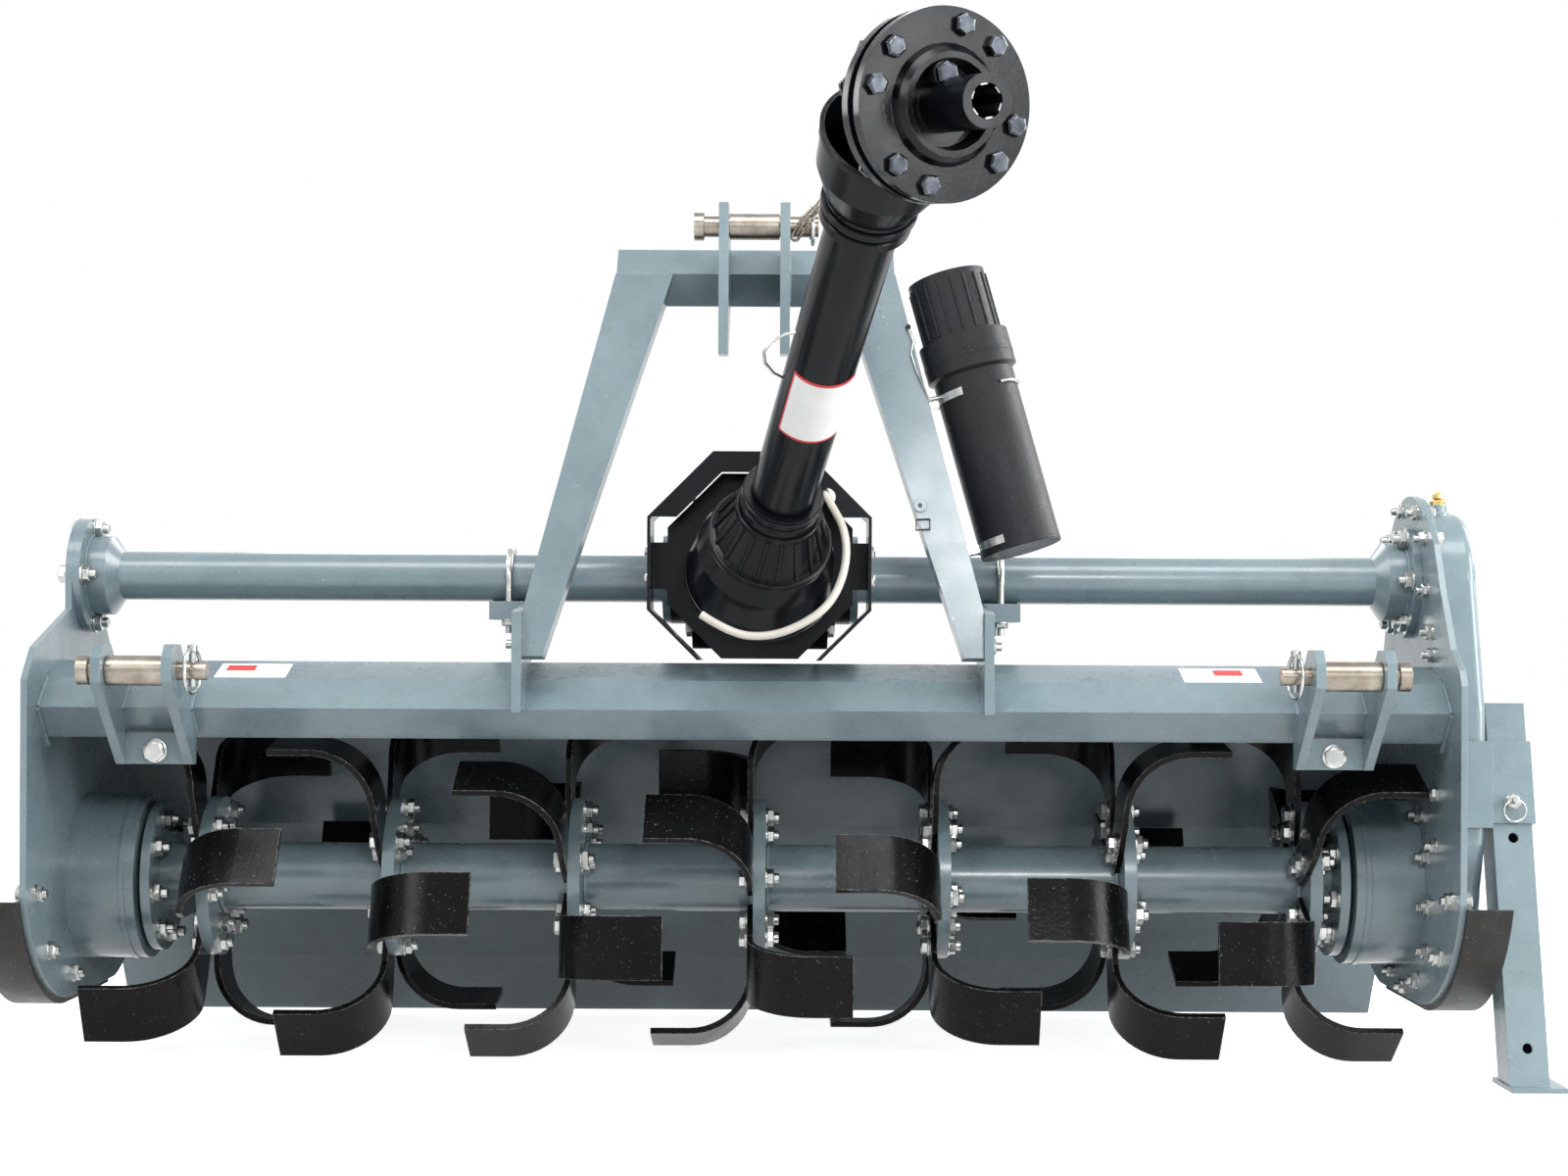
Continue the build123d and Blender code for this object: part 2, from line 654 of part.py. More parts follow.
# tines: C-shaped blades, all six of a flange bolted to its left face, turned left and right in turn
TINE_W, TINE_T = 80.0, 8.0
TINE_REACH = 132.0  # from the root's middle surface sideways to the tine's end
TINE_BEND_R = 80.0
TINE_RAKE = 25.0  # the cutting edge leads and stands further out by this angle
TINE_STEP = 15.0  # helix angle from one flange to the next
RIGHT_START, LEFT_START = -11.0, -70.0  # first flange, from straight ahead towards the floor
ROOT_HALF_W, ROOT_LEAD = 23.0, 20.0  # the root leads the tip by this angle
ROOT_NEAR, ROOT_FAR = 54.0, 104.0
ARM_WIDENS = 105.0
rake = math.radians(TINE_RAKE)
# Distance of the tip's middle line from the axis, from the reach of its leading outer corner.
b_half = math.cos(rake) * TINE_T / 2 + math.sin(rake) * TINE_W / 2
c_rest = (TINE_T**2 + TINE_W**2) / 4 - TINE_TIP_R**2
TIP_MIDDLE_R = -b_half + math.sqrt(b_half**2 - c_rest)
TINE_RISE = TIP_MIDDLE_R * math.cos(rake)
TINE_SHIFT = TIP_MIDDLE_R * math.sin(rake)
ROOT_X = -(FLANGE_T + TINE_T) / 2  # root's middle surface from the flange's middle


def blade_point(out, wide):
    """(y, z) of a point out along the arm and wide towards the cutting edge, tip straight ahead."""
    return (
        -out * math.cos(rake) - wide * math.sin(rake),
        out * math.sin(rake) - wide * math.cos(rake),
    )


def root_point(radius, across):
    """(y, z) of a point on the root, which stands radially, ahead of the tip."""
    lead = rake + math.radians(ROOT_LEAD)
    out = radius * math.cos(lead) - across * math.sin(lead)
    return blade_point(out, radius * math.sin(lead) + across * math.cos(lead))


with BuildPart() as tine:
    # local x runs along the rotor, local y out along the blade's arm, the third way is its width
    blade_plane = Plane(
        origin=Vector(0, *blade_point(0, TINE_SHIFT)),
        x_dir=(1, 0, 0),
        z_dir=Vector(0, *blade_point(0, 1)),
    )
    with BuildSketch(blade_plane):
        with BuildLine() as spine:
            bend_end = (TINE_BEND_R, TINE_RISE)
            arm = Line((0, 0), (0, TINE_RISE - TINE_BEND_R))
            RadiusArc(arm @ 1, bend_end, TINE_BEND_R)
            Line(bend_end, (TINE_REACH, TINE_RISE))
        trace(line_width=TINE_T)
    extrude(amount=TINE_W, both=True)
    # plan form: narrow radial root for two bolts, full width beyond the flange
    with BuildSketch(side_plane(-TINE_T)):
        with BuildLine():
            Polyline(
                root_point(ROOT_NEAR, ROOT_HALF_W),
                root_point(ROOT_FAR, ROOT_HALF_W),
                blade_point(ARM_WIDENS, TINE_SHIFT + TINE_W / 2 - 6.0),
                blade_point(ARM_WIDENS + 20.0, TINE_SHIFT + TINE_W / 2),
                blade_point(TINE_RISE + TINE_T, TINE_SHIFT + TINE_W / 2),
                blade_point(TINE_RISE + TINE_T, TINE_SHIFT - TINE_W / 2),
                blade_point(ARM_WIDENS, TINE_SHIFT - TINE_W / 2),
                root_point(ROOT_NEAR, -ROOT_HALF_W),
                close=True,
            )
        make_face()
    extrude(amount=TINE_REACH + 2 * TINE_T, mode=Mode.INTERSECT)

right_tines, left_tines = [], []
for index, x in enumerate(FLANGES):
    for third in range(3):
        turn = TINE_STEP * index + 120.0 * third
        right_tines.append(
            tine.part.moved(Location((x + ROOT_X, 0, ROTOR_Z), (RIGHT_START + turn, 0, 0)))
        )
        left_tines.append(
            mirror_x(tine.part).moved(
                Location((x + ROOT_X, 0, ROTOR_Z), (LEFT_START + turn, 0, 0))
            )
        )
keep("tines_right_hand", Compound(children=right_tines))
keep("tines_left_hand", Compound(children=left_tines))

# ---- Tailboard and its hinge ----
HINGE_Y, HINGE_Z = 280.0, 326.0
HINGE_ROD_R, BARREL_R = 6.0, 11.0
TAIL_HALF = 925.0
TAIL_BEND = (346.0, 94.0)
TAIL_FOOT = (403.0, 8.0)
BARRELS, BARREL_LENGTH = 5, 120.0
HINGE_HALF = PLATE_X - 10.0
LUG_LENGTH = 40.0
LUG_DEG = 18.0  # where a lug meets the hood, about the rotor axis

with BuildPart() as tailboard:
    with BuildSketch(side_plane(-TAIL_HALF)):
        with BuildLine():
            Polyline((HINGE_Y + 2.0, HINGE_Z - 8.0), TAIL_BEND, TAIL_FOOT)
        trace(line_width=SHEET)
    extrude(amount=2 * TAIL_HALF)
    for i in range(BARRELS):
        middle = HINGE_HALF * (2 * i / (BARRELS - 1) - 1) * 0.9
        add(
            rod(
                (HINGE_Y, HINGE_Z),
                BARREL_R,
                middle - BARREL_LENGTH / 2,
                middle + BARREL_LENGTH / 2,
            )
        )
    add(
        rod((HINGE_Y, HINGE_Z), HINGE_ROD_R + 2 * FIT, -TAIL_HALF - 1, TAIL_HALF + 1),
        mode=Mode.SUBTRACT,
    )
keep("tailboard", tailboard.part)

with BuildPart() as tailboard_hinge:
    add(rod((HINGE_Y, HINGE_Z), HINGE_ROD_R, -HINGE_HALF, HINGE_HALF))
    for i in range(BARRELS - 1):
        middle = HINGE_HALF * ((2 * i + 1) / (BARRELS - 1) - 1) * 0.9
        lug_way = math.radians(LUG_DEG)
        lug_y = HOOD_OUTER_R * math.cos(lug_way)
        lug_z = ROTOR_Z + HOOD_OUTER_R * math.sin(lug_way)
        add(
            slab(
                [
                    (lug_y + 3 * FIT, lug_z - 1.0),
                    (lug_y + FIT - 6.0, lug_z + 19.0),
                    (HINGE_Y - 1.0, HINGE_Z + 9.0),
                    (HINGE_Y + 5.0, HINGE_Z + 3.0),
                    (HINGE_Y, HINGE_Z - 4.0),
                ],
                middle - LUG_LENGTH / 2,
                middle + LUG_LENGTH / 2,
            )
        )
keep("tailboard_hinge", tailboard_hinge.part)

# ---- Parking stand outside the gear case ----
STAND_X = 978.0
STAND_LEAN = 14.0
STAND_TUBE, STAND_WALL = 50.0, 4.0
SLEEVE_TUBE, SLEEVE_WALL = 58.0, 3.5
STAND_FOOT_Y = -196.0
STAND_LENGTH = 476.0
FOOT_T, FOOT_W = 6.0, 86.0
FOOT_GAP = 6.0  # from the gear case to the foot plate, which passes it when raised
SLEEVE_LOW, SLEEVE_HIGH = 318.0, 425.0  # along the leg from its foot
GUSSET_Y, GUSSET_T = -152.0, 6.0
HOLE_R = 6.5
HOLES = (34.0, 300.0)
lean = math.radians(STAND_LEAN)
FOOT_RISE = FOOT_T + STAND_TUBE / 2 * math.sin(lean)
stand_plane = Plane(
    origin=(STAND_X, STAND_FOOT_Y, FOOT_RISE),
    x_dir=(1, 0, 0),
    z_dir=(0, math.sin(lean), math.cos(lean)),
)
with BuildPart() as stand_leg:
    with BuildSketch(stand_plane.offset(-STAND_TUBE)):
        Rectangle(STAND_TUBE, STAND_TUBE)
        Rectangle(
            STAND_TUBE - 2 * STAND_WALL, STAND_TUBE - 2 * STAND_WALL, mode=Mode.SUBTRACT
        )
    extrude(amount=STAND_LENGTH + STAND_TUBE)
    with Locations((STAND_X, STAND_FOOT_Y, FOOT_T - 100)):
        Box(200, 400, 200, mode=Mode.SUBTRACT)
    foot_inner, foot_outer = CASE_END + FOOT_GAP, STAND_X + FOOT_W / 2
    with Locations(((foot_inner + foot_outer) / 2, STAND_FOOT_Y, FOOT_T / 2)):
        Box(foot_outer - foot_inner, FOOT_W, FOOT_T)
    for height in HOLES:
        front = Plane(
            origin=stand_plane.offset(height).origin,
            x_dir=(1, 0, 0),
            z_dir=(0, -math.cos(lean), math.sin(lean)),
        )
        with BuildSketch(front):
            Circle(HOLE_R)
        extrude(amount=STAND_TUBE, both=True, mode=Mode.SUBTRACT)
keep("stand_leg", stand_leg.part)

with BuildPart() as stand_sleeve:
    with BuildSketch(stand_plane.offset(SLEEVE_LOW)):
        Rectangle(SLEEVE_TUBE, SLEEVE_TUBE)
        Rectangle(
            SLEEVE_TUBE - 2 * SLEEVE_WALL, SLEEVE_TUBE - 2 * SLEEVE_WALL, mode=Mode.SUBTRACT
        )
    extrude(amount=SLEEVE_HIGH - SLEEVE_LOW)
    # flat against the gear case, with a gusset ahead of the case to its flange
    add(
        slab(
            [(GUSSET_Y - 3.0, 322.0), (GUSSET_Y - 3.0, 432.0), (-62.0, 432.0), (-78.0, 322.0)],
            CASE_END,
            STAND_X - SLEEVE_TUBE / 2 + 1.0,
        )
    )
    with Locations(((CASE_X + STAND_X - SLEEVE_TUBE / 2) / 2, GUSSET_Y, 377.0)):
        Box(STAND_X - SLEEVE_TUBE / 2 - CASE_X, GUSSET_T, 110.0)
    with BuildSketch(stand_plane.offset(SLEEVE_LOW - 30)):
        Rectangle(SLEEVE_TUBE - 2 * SLEEVE_WALL, SLEEVE_TUBE - 2 * SLEEVE_WALL)
    extrude(amount=SLEEVE_HIGH - SLEEVE_LOW + 60, mode=Mode.SUBTRACT)
keep("stand_sleeve", stand_sleeve.part)

# ---- Driveline: U-joint at the gearbox, telescoping guarded shaft, U-joint and slip clutch ----
JOINT_Y = -201.0
REAR_JOINT = Vector(GEAR_X, JOINT_Y, DRIVE_Z)
SHAFT_YAW, SHAFT_RISE = 12.0, 33.0
SHAFT_SPAN = 800.0  # between the U-joint centres
CLUTCH_YAW, CLUTCH_DROP = 25.1, 8.5
FORK_R, FORK_T = 30.0, 12.0


def direction(yaw, rise):
    """A unit vector ahead, turned by yaw to the right and raised by rise, in degrees."""
    yaw, rise = math.radians(yaw), math.radians(rise)
    return Vector(
        math.cos(rise) * math.sin(yaw), -math.cos(rise) * math.cos(yaw), math.sin(rise)
    )


SHAFT_DIR = direction(SHAFT_YAW, SHAFT_RISE)
CLUTCH_DIR = direction(CLUTCH_YAW, -CLUTCH_DROP)
FRONT_JOINT = REAR_JOINT + SHAFT_DIR * SHAFT_SPAN
REAR_PIN_A = Vector(0, 0, 1)
REAR_PIN_B = SHAFT_DIR.cross(REAR_PIN_A).normalized()
FRONT_PIN_A = SHAFT_DIR.cross(CLUTCH_DIR).normalized()
FRONT_PIN_B = CLUTCH_DIR.cross(FRONT_PIN_A).normalized()


def turned(centre, along, steps, bore=0.0):
    """A turned piece on the axis from centre along a direction, from (distance, radius) steps."""
    plane = Plane(origin=centre, z_dir=along)
    profile = Plane(origin=centre, x_dir=plane.x_dir, z_dir=plane.y_dir * -1)
    with BuildPart() as made:
        with BuildSketch(profile):
            with BuildLine():
                Polyline(
                    (bore, steps[0][0]),
                    *[(radius, distance) for distance, radius in steps],
                    (bore, steps[-1][0]),
                    close=True,
                )
            make_face()
        revolve(axis=Axis(centre, along))
    return made.part


CROSS_R, CROSS_HALF, CROSS_BODY_R = 9.0, 34.0, 17.0
YOKE_ARM_W = 34.0
YOKE_ARM_IN = 24.0


def cross_part(centre, pin_a, pin_b):
    """The spider of a U-joint with its two crossed pins."""
    with BuildPart() as made:
        for pin in (pin_a, pin_b):
            with BuildSketch(Plane(origin=centre, z_dir=pin)):
                Circle(CROSS_R)
            extrude(amount=CROSS_HALF, both=True)
        with BuildSketch(Plane(origin=centre, z_dir=pin_a.cross(pin_b))):
            Circle(CROSS_BODY_R)
        extrude(amount=CROSS_R, both=True)
    return made.part


def yoke_part(centre, along, pin, hub_near, hub_far, hub_r):
    """A fork: two arms round the cross pin, joined to a hub that runs away from the joint."""
    wide = along.cross(pin).normalized()
    with BuildPart() as made:
        with BuildSketch(Plane(origin=centre + along * hub_near, x_dir=pin, z_dir=along)):
            Circle(hub_r)
        extrude(amount=hub_far - hub_near)
        for way in (-1, 1):
            arm = Plane(origin=centre + pin * (way * YOKE_ARM_IN), x_dir=wide, z_dir=pin * way)
            with BuildSketch(arm):
                Circle(YOKE_ARM_W / 2)
                side_y = arm.to_local_coords(centre + along * hub_near).Y
                with Locations((0, side_y / 2 + math.copysign(5, side_y))):
                    Rectangle(YOKE_ARM_W, abs(side_y) + 10)
            extrude(amount=FORK_T)
        with BuildSketch(Plane(origin=centre, z_dir=pin)):
            Circle(CROSS_R + FIT)
        extrude(amount=60, both=True, mode=Mode.SUBTRACT)
    return made.part


SHAFT_R = 16.0
HUB_START, HUB_END = 46.0, 70.0
YOKE_HUB_R = 36.0
BACK = Vector(0, 1, 0)
keep(
    "input_yoke",
    yoke_part(REAR_JOINT, BACK, REAR_PIN_A, HUB_START - 4, JOINT_Y * -1 + INPUT_SNOUT_Y, YOKE_HUB_R),
)
keep("rear_cross", cross_part(REAR_JOINT, REAR_PIN_A, REAR_PIN_B))

# the rear half carries the inner shaft and the inner guard tube; the front half slides over it
GUARD_OUT_R, GUARD_WALL = 39.0, 3.0
INNER_GUARD_R = GUARD_OUT_R - GUARD_WALL - 1.5
LAP_END = 560.0  # end of the inner shaft
OUTER_START = 178.0  # start of the outer guard tube
TUBE_START = 240.0  # start of the outer shaft tube
OUTER_SHAFT_R = 24.0
FRONT_BELL = SHAFT_SPAN - 160.0
rear_shaft = yoke_part(REAR_JOINT, SHAFT_DIR, REAR_PIN_B, HUB_START, HUB_END, YOKE_HUB_R)
with BuildPart() as rear_half:
    add(rear_shaft)
    add(
        turned(
            REAR_JOINT + SHAFT_DIR * (HUB_END - 5),
            SHAFT_DIR,
            [(0.0, SHAFT_R), (LAP_END - HUB_END, SHAFT_R)],
        )
    )
keep("rear_shaft", rear_half.part)

BELL_R, BELL_MID_R = 92.0, 76.0


def shell_of(centre, along, line, wall):
    """A thin turned shell of constant wall from its outer (distance, radius) line."""
    plane = Plane(origin=centre, z_dir=along)
    profile = Plane(origin=centre, x_dir=plane.x_dir, z_dir=plane.y_dir * -1)
    outer_line = [(radius, distance) for distance, radius in line]
    inner_line = [(radius - wall, distance) for distance, radius in reversed(line)]
    with BuildPart() as made:
        with BuildSketch(profile):
            with BuildLine():
                Polyline(*outer_line, *inner_line, close=True)
            make_face()
        revolve(axis=Axis(centre, along))
    return made.part


with BuildPart() as rear_guard:
    add(
        shell_of(
            REAR_JOINT,
            SHAFT_DIR,
            [
                (-16.0, BELL_R),
                (10.0, BELL_R),
                (50.0, 86.0),
                (72.0, BELL_MID_R),
                (82.0, BELL_MID_R),
                (84.0, 69.0),
                (136.0, 50.0),
                (150.0, 47.0),
                (172.0, 47.0),
            ],
            3.0,
        )
    )
    add(
        turned(
            REAR_JOINT + SHAFT_DIR * 152.0,
            SHAFT_DIR,
            [(0.0, 45.0), (20.0, 45.0)],
            SHAFT_R + FIT,
        )
    )
    add(
        shell_of(
            REAR_JOINT, SHAFT_DIR, [(170.0, INNER_GUARD_R), (540.0, INNER_GUARD_R)], 3.0
        )
    )
keep("rear_guard", rear_guard.part)

with BuildPart() as front_guard:
    add(
        shell_of(
            REAR_JOINT,
            SHAFT_DIR,
            [
                (OUTER_START, GUARD_OUT_R),
                (FRONT_BELL, GUARD_OUT_R),
                (FRONT_BELL + 5.0, 46.0),
                (FRONT_BELL + 40.0, 49.0),
                (FRONT_BELL + 80.0, 66.0),
                (FRONT_BELL + 130.0, 70.0),
            ],
            3.0,
        )
    )
    add(
        turned(
            REAR_JOINT + SHAFT_DIR * (FRONT_BELL + 8.0),
            SHAFT_DIR,
            [(0.0, 45.0), (20.0, 45.5)],
            OUTER_SHAFT_R + FIT,
        )
    )
keep("front_guard", front_guard.part)

with BuildPart() as front_half:
    add(yoke_part(FRONT_JOINT, SHAFT_DIR * -1, FRONT_PIN_A, HUB_START, HUB_END, YOKE_HUB_R))
    add(
        turned(
            REAR_JOINT + SHAFT_DIR * TUBE_START,
            SHAFT_DIR,
            [(0.0, OUTER_SHAFT_R), (SHAFT_SPAN - HUB_END - TUBE_START + 5.0, OUTER_SHAFT_R)],
        )
    )
    add(
        turned(
            REAR_JOINT + SHAFT_DIR * TUBE_START,
            SHAFT_DIR,
            [(0.0, SHAFT_R + 1.0), (SHAFT_SPAN - TUBE_START - 120.0, SHAFT_R + 1.0)],
        ),
        mode=Mode.SUBTRACT,
    )
keep("front_shaft", front_half.part)
keep("front_cross", cross_part(FRONT_JOINT, FRONT_PIN_A, FRONT_PIN_B))

CLUTCH_START = 64.0  # rear face of the disc pack from the joint's centre
CLUTCH_R = 92.0
CLUTCH_HUB_R, CLUTCH_BORE_R, CLUTCH_END = 25.5, 16.5, 180.0
with BuildPart() as slip_clutch:
    add(
        yoke_part(
            FRONT_JOINT, CLUTCH_DIR, FRONT_PIN_B, HUB_START, CLUTCH_START + 2.0, YOKE_HUB_R
        )
    )
    # disc pack, then the cover's raised ring round a well, with the hub standing in it
    add(
        turned(
            FRONT_JOINT + CLUTCH_DIR * CLUTCH_START,
            CLUTCH_DIR,
            [
                (0.0, CLUTCH_R),
                (12.0, CLUTCH_R),
                (12.0, 78.0),
                (24.0, 78.0),
                (24.0, CLUTCH_R),
                (36.0, CLUTCH_R),
                (36.0, 58.0),
                (44.0, 54.0),
                (50.0, 49.0),
                (50.0, 43.0),
                (28.0, 39.0),
                (28.0, CLUTCH_HUB_R),
                (CLUTCH_END - CLUTCH_START, CLUTCH_HUB_R),
            ],
        )
    )
    add(
        turned(
            FRONT_JOINT + CLUTCH_DIR * 110.0,
            CLUTCH_DIR,
            [(0.0, CLUTCH_BORE_R), (CLUTCH_END - 108.0, CLUTCH_BORE_R)],
        ),
        mode=Mode.SUBTRACT,
    )
keep("slip_clutch", slip_clutch.part)

# ---- Manual canister on the right mast leg ----
leg_rise = (MAST_TUBE_HALF - (BASE_HALF - BASE_T)) / (LEG_TOP_Z - LEG_OUTER_Z)


def leg_outer_x(z):
    """X of the right leg's outer edge at height z."""
    return MAST_X + MAST_TUBE_HALF + leg_rise * (z - LEG_TOP_Z)


CAN_FOOT_OFF, CAN_TOP_OFF = 69.2, 64.3  # axis from the leg's outer edge, along X
CAN_FOOT_Z, CAN_TOP_Z = 670.0, 1014.0
CAN_FOOT = Vector(leg_outer_x(CAN_FOOT_Z) + CAN_FOOT_OFF, -200.0, CAN_FOOT_Z)
CAN_TOP = Vector(leg_outer_x(CAN_TOP_Z) + CAN_TOP_OFF, -162.0, CAN_TOP_Z)
CAN_DIR = (CAN_TOP - CAN_FOOT).normalized()
CAN_LENGTH = (CAN_TOP - CAN_FOOT).length
CAN_R, CAN_BORE_R, CAN_BASE_T = 51.0, 40.0, 4.0
COLLAR_OUT_R, COLLAR_LOW, COLLAR_HIGH = 57.0, 228.0, 277.0  # heights along the canister
NECK_R, NECK_HEIGHT = 44.0, 20.0
CAP_R, CAP_T = 49.0, 4.0
keep("canister_base", turned(CAN_FOOT, CAN_DIR, [(0.0, CAN_R), (CAN_BASE_T, CAN_R)]))
keep(
    "manual_canister",
    turned(
        CAN_FOOT,
        CAN_DIR,
        [
            (CAN_BASE_T, CAN_R),
            (COLLAR_LOW, CAN_R),
            (COLLAR_LOW + 4.0, COLLAR_OUT_R),
            (COLLAR_HIGH, COLLAR_OUT_R),
            (COLLAR_HIGH, NECK_R),
            (COLLAR_HIGH + NECK_HEIGHT, NECK_R),
        ],
        CAN_BORE_R,
    ),
)
with BuildPart() as canister_cap:
    add(turned(CAN_FOOT, CAN_DIR, [(COLLAR_HIGH + FIT, CAP_R), (CAN_LENGTH, CAP_R)]))
    add(
        turned(
            CAN_FOOT,
            CAN_DIR,
            [(COLLAR_HIGH - 1.0, NECK_R + FIT), (CAN_LENGTH - CAP_T, NECK_R + FIT)],
        ),
        mode=Mode.SUBTRACT,
    )
keep("canister_cap", canister_cap.part)

# saddles that hold the canister off the mast leg
CLAMP_T, CLAMP_W = 2.5, 10.0
CLAMPS = (14.0, 206.0)  # along the canister from its foot
TONGUE_Y = 20.0
with BuildPart() as canister_clamps:
    for height in CLAMPS:
        centre = CAN_FOOT + CAN_DIR * height
        side_way = Vector(-1, 0, -CAN_DIR.X / CAN_DIR.Z).normalized()
        plane = Plane(origin=centre, x_dir=side_way, z_dir=CAN_DIR)
        reach = (centre.X - leg_outer_x(centre.Z)) * math.cos(math.atan(leg_rise)) - FIT
        with BuildSketch(plane.offset(-CLAMP_W / 2)):
            Circle(CAN_R + FIT + CLAMP_T)
            with Locations(((CAN_R + reach) / 2, 0)):
                Rectangle(reach - CAN_R, TONGUE_Y)
            Circle(CAN_R + FIT, mode=Mode.SUBTRACT)
            with Locations((-CAN_R, 0)):
                Rectangle(3 * CAN_R, 3 * CAN_R, mode=Mode.SUBTRACT)
        extrude(amount=CLAMP_W)
keep("canister_clamps", canister_clamps.part)

# ---- Breather hose, hanging round the guard cone, bare at its end ----
HOSE_D = 10.0
HOSE_ROUTE = [
    (88.0, -60.0, 753.0),
    (89.0, -100.0, 755.0),
    (91.0, -140.0, 758.0),
    (94.0, -178.0, 752.0),
    (104.0, -216.0, 728.0),
    (124.0, -253.0, 690.0),
    (124.0, -278.0, 643.0),
    (105.0, -291.0, 598.0),
    (66.0, -292.0, 571.0),
    (25.0, -292.0, 558.0),
    (-18.0, -288.0, 563.0),
    (-53.0, -283.0, 586.0),
]
radii = []
for before, here, after in zip(HOSE_ROUTE, HOSE_ROUTE[1:], HOSE_ROUTE[2:]):
    first, second = Vector(*here) - Vector(*before), Vector(*after) - Vector(*here)
    half_turn = math.radians(first.get_angle(second)) / 2
    radii.append(0.45 * min(first.length, second.length) / math.tan(half_turn))
print("hose radii", [round(radius, 1) for radius in radii])
with BuildPart() as breather_hose:
    with BuildLine() as hose_line:
        hose_wire = FilletPolyline(*HOSE_ROUTE, radius=radii)
    with BuildSketch(Plane(origin=hose_wire @ 0, z_dir=hose_wire % 0)):
        Circle(HOSE_D / 2)
    sweep(path=hose_wire)
hose_volume = math.pi * HOSE_D**2 / 4 * hose_wire.length
print("hose", round(hose_wire.length, 1), round(breather_hose.part.volume / hose_volume, 4))
keep("breather_hose", breather_hose.part)

# the elbow on top of the gearbox that the hose is pushed onto
hose_start, hose_way = Vector(*HOSE_ROUTE[0]), hose_wire % 0
with BuildPart() as hose_fitting:
    add(turned(hose_start - hose_way * 16.0, hose_way, [(0.0, 7.0), (16.0, 7.0)]))
    with Locations((hose_start.X, hose_start.Y + 22.0, GEARBOX_HIGH_Z + 10.0)):
        Box(16.0, 16.0, 20.0)
keep("hose_fitting", hose_fitting.part)

# ---- Write every piece in the final frame ----
box = Compound(children=[part.moved(Location()) for part in pieces.values()]).bounding_box()
origin = Vector((box.min.X + box.max.X) / 2, (box.min.Y + box.max.Y) / 2, box.min.Z)
print("origin", origin)
for name, part in pieces.items():
    placed = part.moved(Location(-origin))
    placed.label = name
    export_step(placed, "parts/" + name + ".step")
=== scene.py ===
import math

import bpy
from mathutils import Matrix, Vector, noise


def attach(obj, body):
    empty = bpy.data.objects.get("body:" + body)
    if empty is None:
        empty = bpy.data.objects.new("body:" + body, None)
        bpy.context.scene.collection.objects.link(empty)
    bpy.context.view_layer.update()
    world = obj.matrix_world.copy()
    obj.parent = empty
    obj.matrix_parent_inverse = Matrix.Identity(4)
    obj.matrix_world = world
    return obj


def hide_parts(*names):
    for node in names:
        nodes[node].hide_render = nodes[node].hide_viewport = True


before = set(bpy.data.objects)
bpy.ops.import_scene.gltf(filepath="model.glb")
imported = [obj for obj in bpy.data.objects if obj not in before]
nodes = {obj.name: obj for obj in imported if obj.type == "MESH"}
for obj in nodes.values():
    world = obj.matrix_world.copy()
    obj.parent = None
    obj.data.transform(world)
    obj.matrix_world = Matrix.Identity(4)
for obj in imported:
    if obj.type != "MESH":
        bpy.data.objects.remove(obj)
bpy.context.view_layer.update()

# Points in this script are millimetres in the machine's working frame: X zero midway between the side
# plates, Y zero on the rotor axis, Z zero on the floor. ORIGIN is the row frame's origin in it.
ORIGIN = Vector((40.5, -312.373, 0.0))
MM = 0.001


def row(point):
    """A working point in millimetres as a row-frame point in metres."""
    return (Vector(point) - ORIGIN) * MM


# ---- Machine sizes that the details need ----
PLATE_X, PLATE_T = 877.0, 8.0
ROTOR_Z = 240.0
DRIVE_Y, DRIVE_Z = -10.0, 638.0
CASE_X = 891.0
MAST_X, GEAR_X = 10.0, 17.0
REAR_JOINT = Vector((17.0, -201.0, 638.0))
SADDLE_LOW = 581.7
HUB_DEPTH = 88.0  # a bearing hub's reach in from its plate
GEAR_HALF = 88.0  # from the gearbox's middle to its side face
MAST_FOOT = 286.0  # from the mast's middle to a foot's plate
TUBE_BEND = 37.4  # radius of a U-bolt's wire round the drive tube


def direction(yaw, rise):
    """A unit vector ahead, turned by yaw to the right and raised by rise, in degrees."""
    yaw, rise = math.radians(yaw), math.radians(rise)
    return Vector(
        (math.cos(rise) * math.sin(yaw), -math.cos(rise) * math.cos(yaw), math.sin(rise))
    )


SHAFT_DIR = direction(12.0, 33.0)
CLUTCH_DIR = direction(25.1, -8.5)
FRONT_JOINT = REAR_JOINT + SHAFT_DIR * 800.0


# ---- Mesh building ----
SHARP_ANGLE = math.radians(35.0)


class Shape:
    """Collects closed meshes in working millimetres, one material each, and becomes one object."""

    def __init__(self, name, body):
        self.name, self.body = name, body
        self.verts, self.faces, self.slots, self.smooth = [], [], [], []
        self.materials = []

    def slot_of(self, material):
        if material not in self.materials:
            self.materials.append(material)
        return self.materials.index(material)

    def add(self, verts, faces, material, smooth=True):
        start, slot = len(self.verts), self.slot_of(material)
        self.verts += [tuple(v) for v in verts]
        for face in faces:
            self.faces.append([start + i for i in face])
            self.slots.append(slot)
            self.smooth.append(smooth)

    def finish(self):
        mesh = bpy.data.meshes.new(self.name)
        mesh.from_pydata([row(v) for v in self.verts], [], self.faces)
        for material in self.materials:
            mesh.materials.append(material)
        mesh.polygons.foreach_set("material_index", self.slots)
        mesh.polygons.foreach_set("use_smooth", self.smooth)
        mesh.update()
        mesh.set_sharp_from_angle(angle=SHARP_ANGLE)
        made = bpy.data.objects.new(self.name, mesh)
        bpy.context.scene.collection.objects.link(made)
        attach(made, self.body)


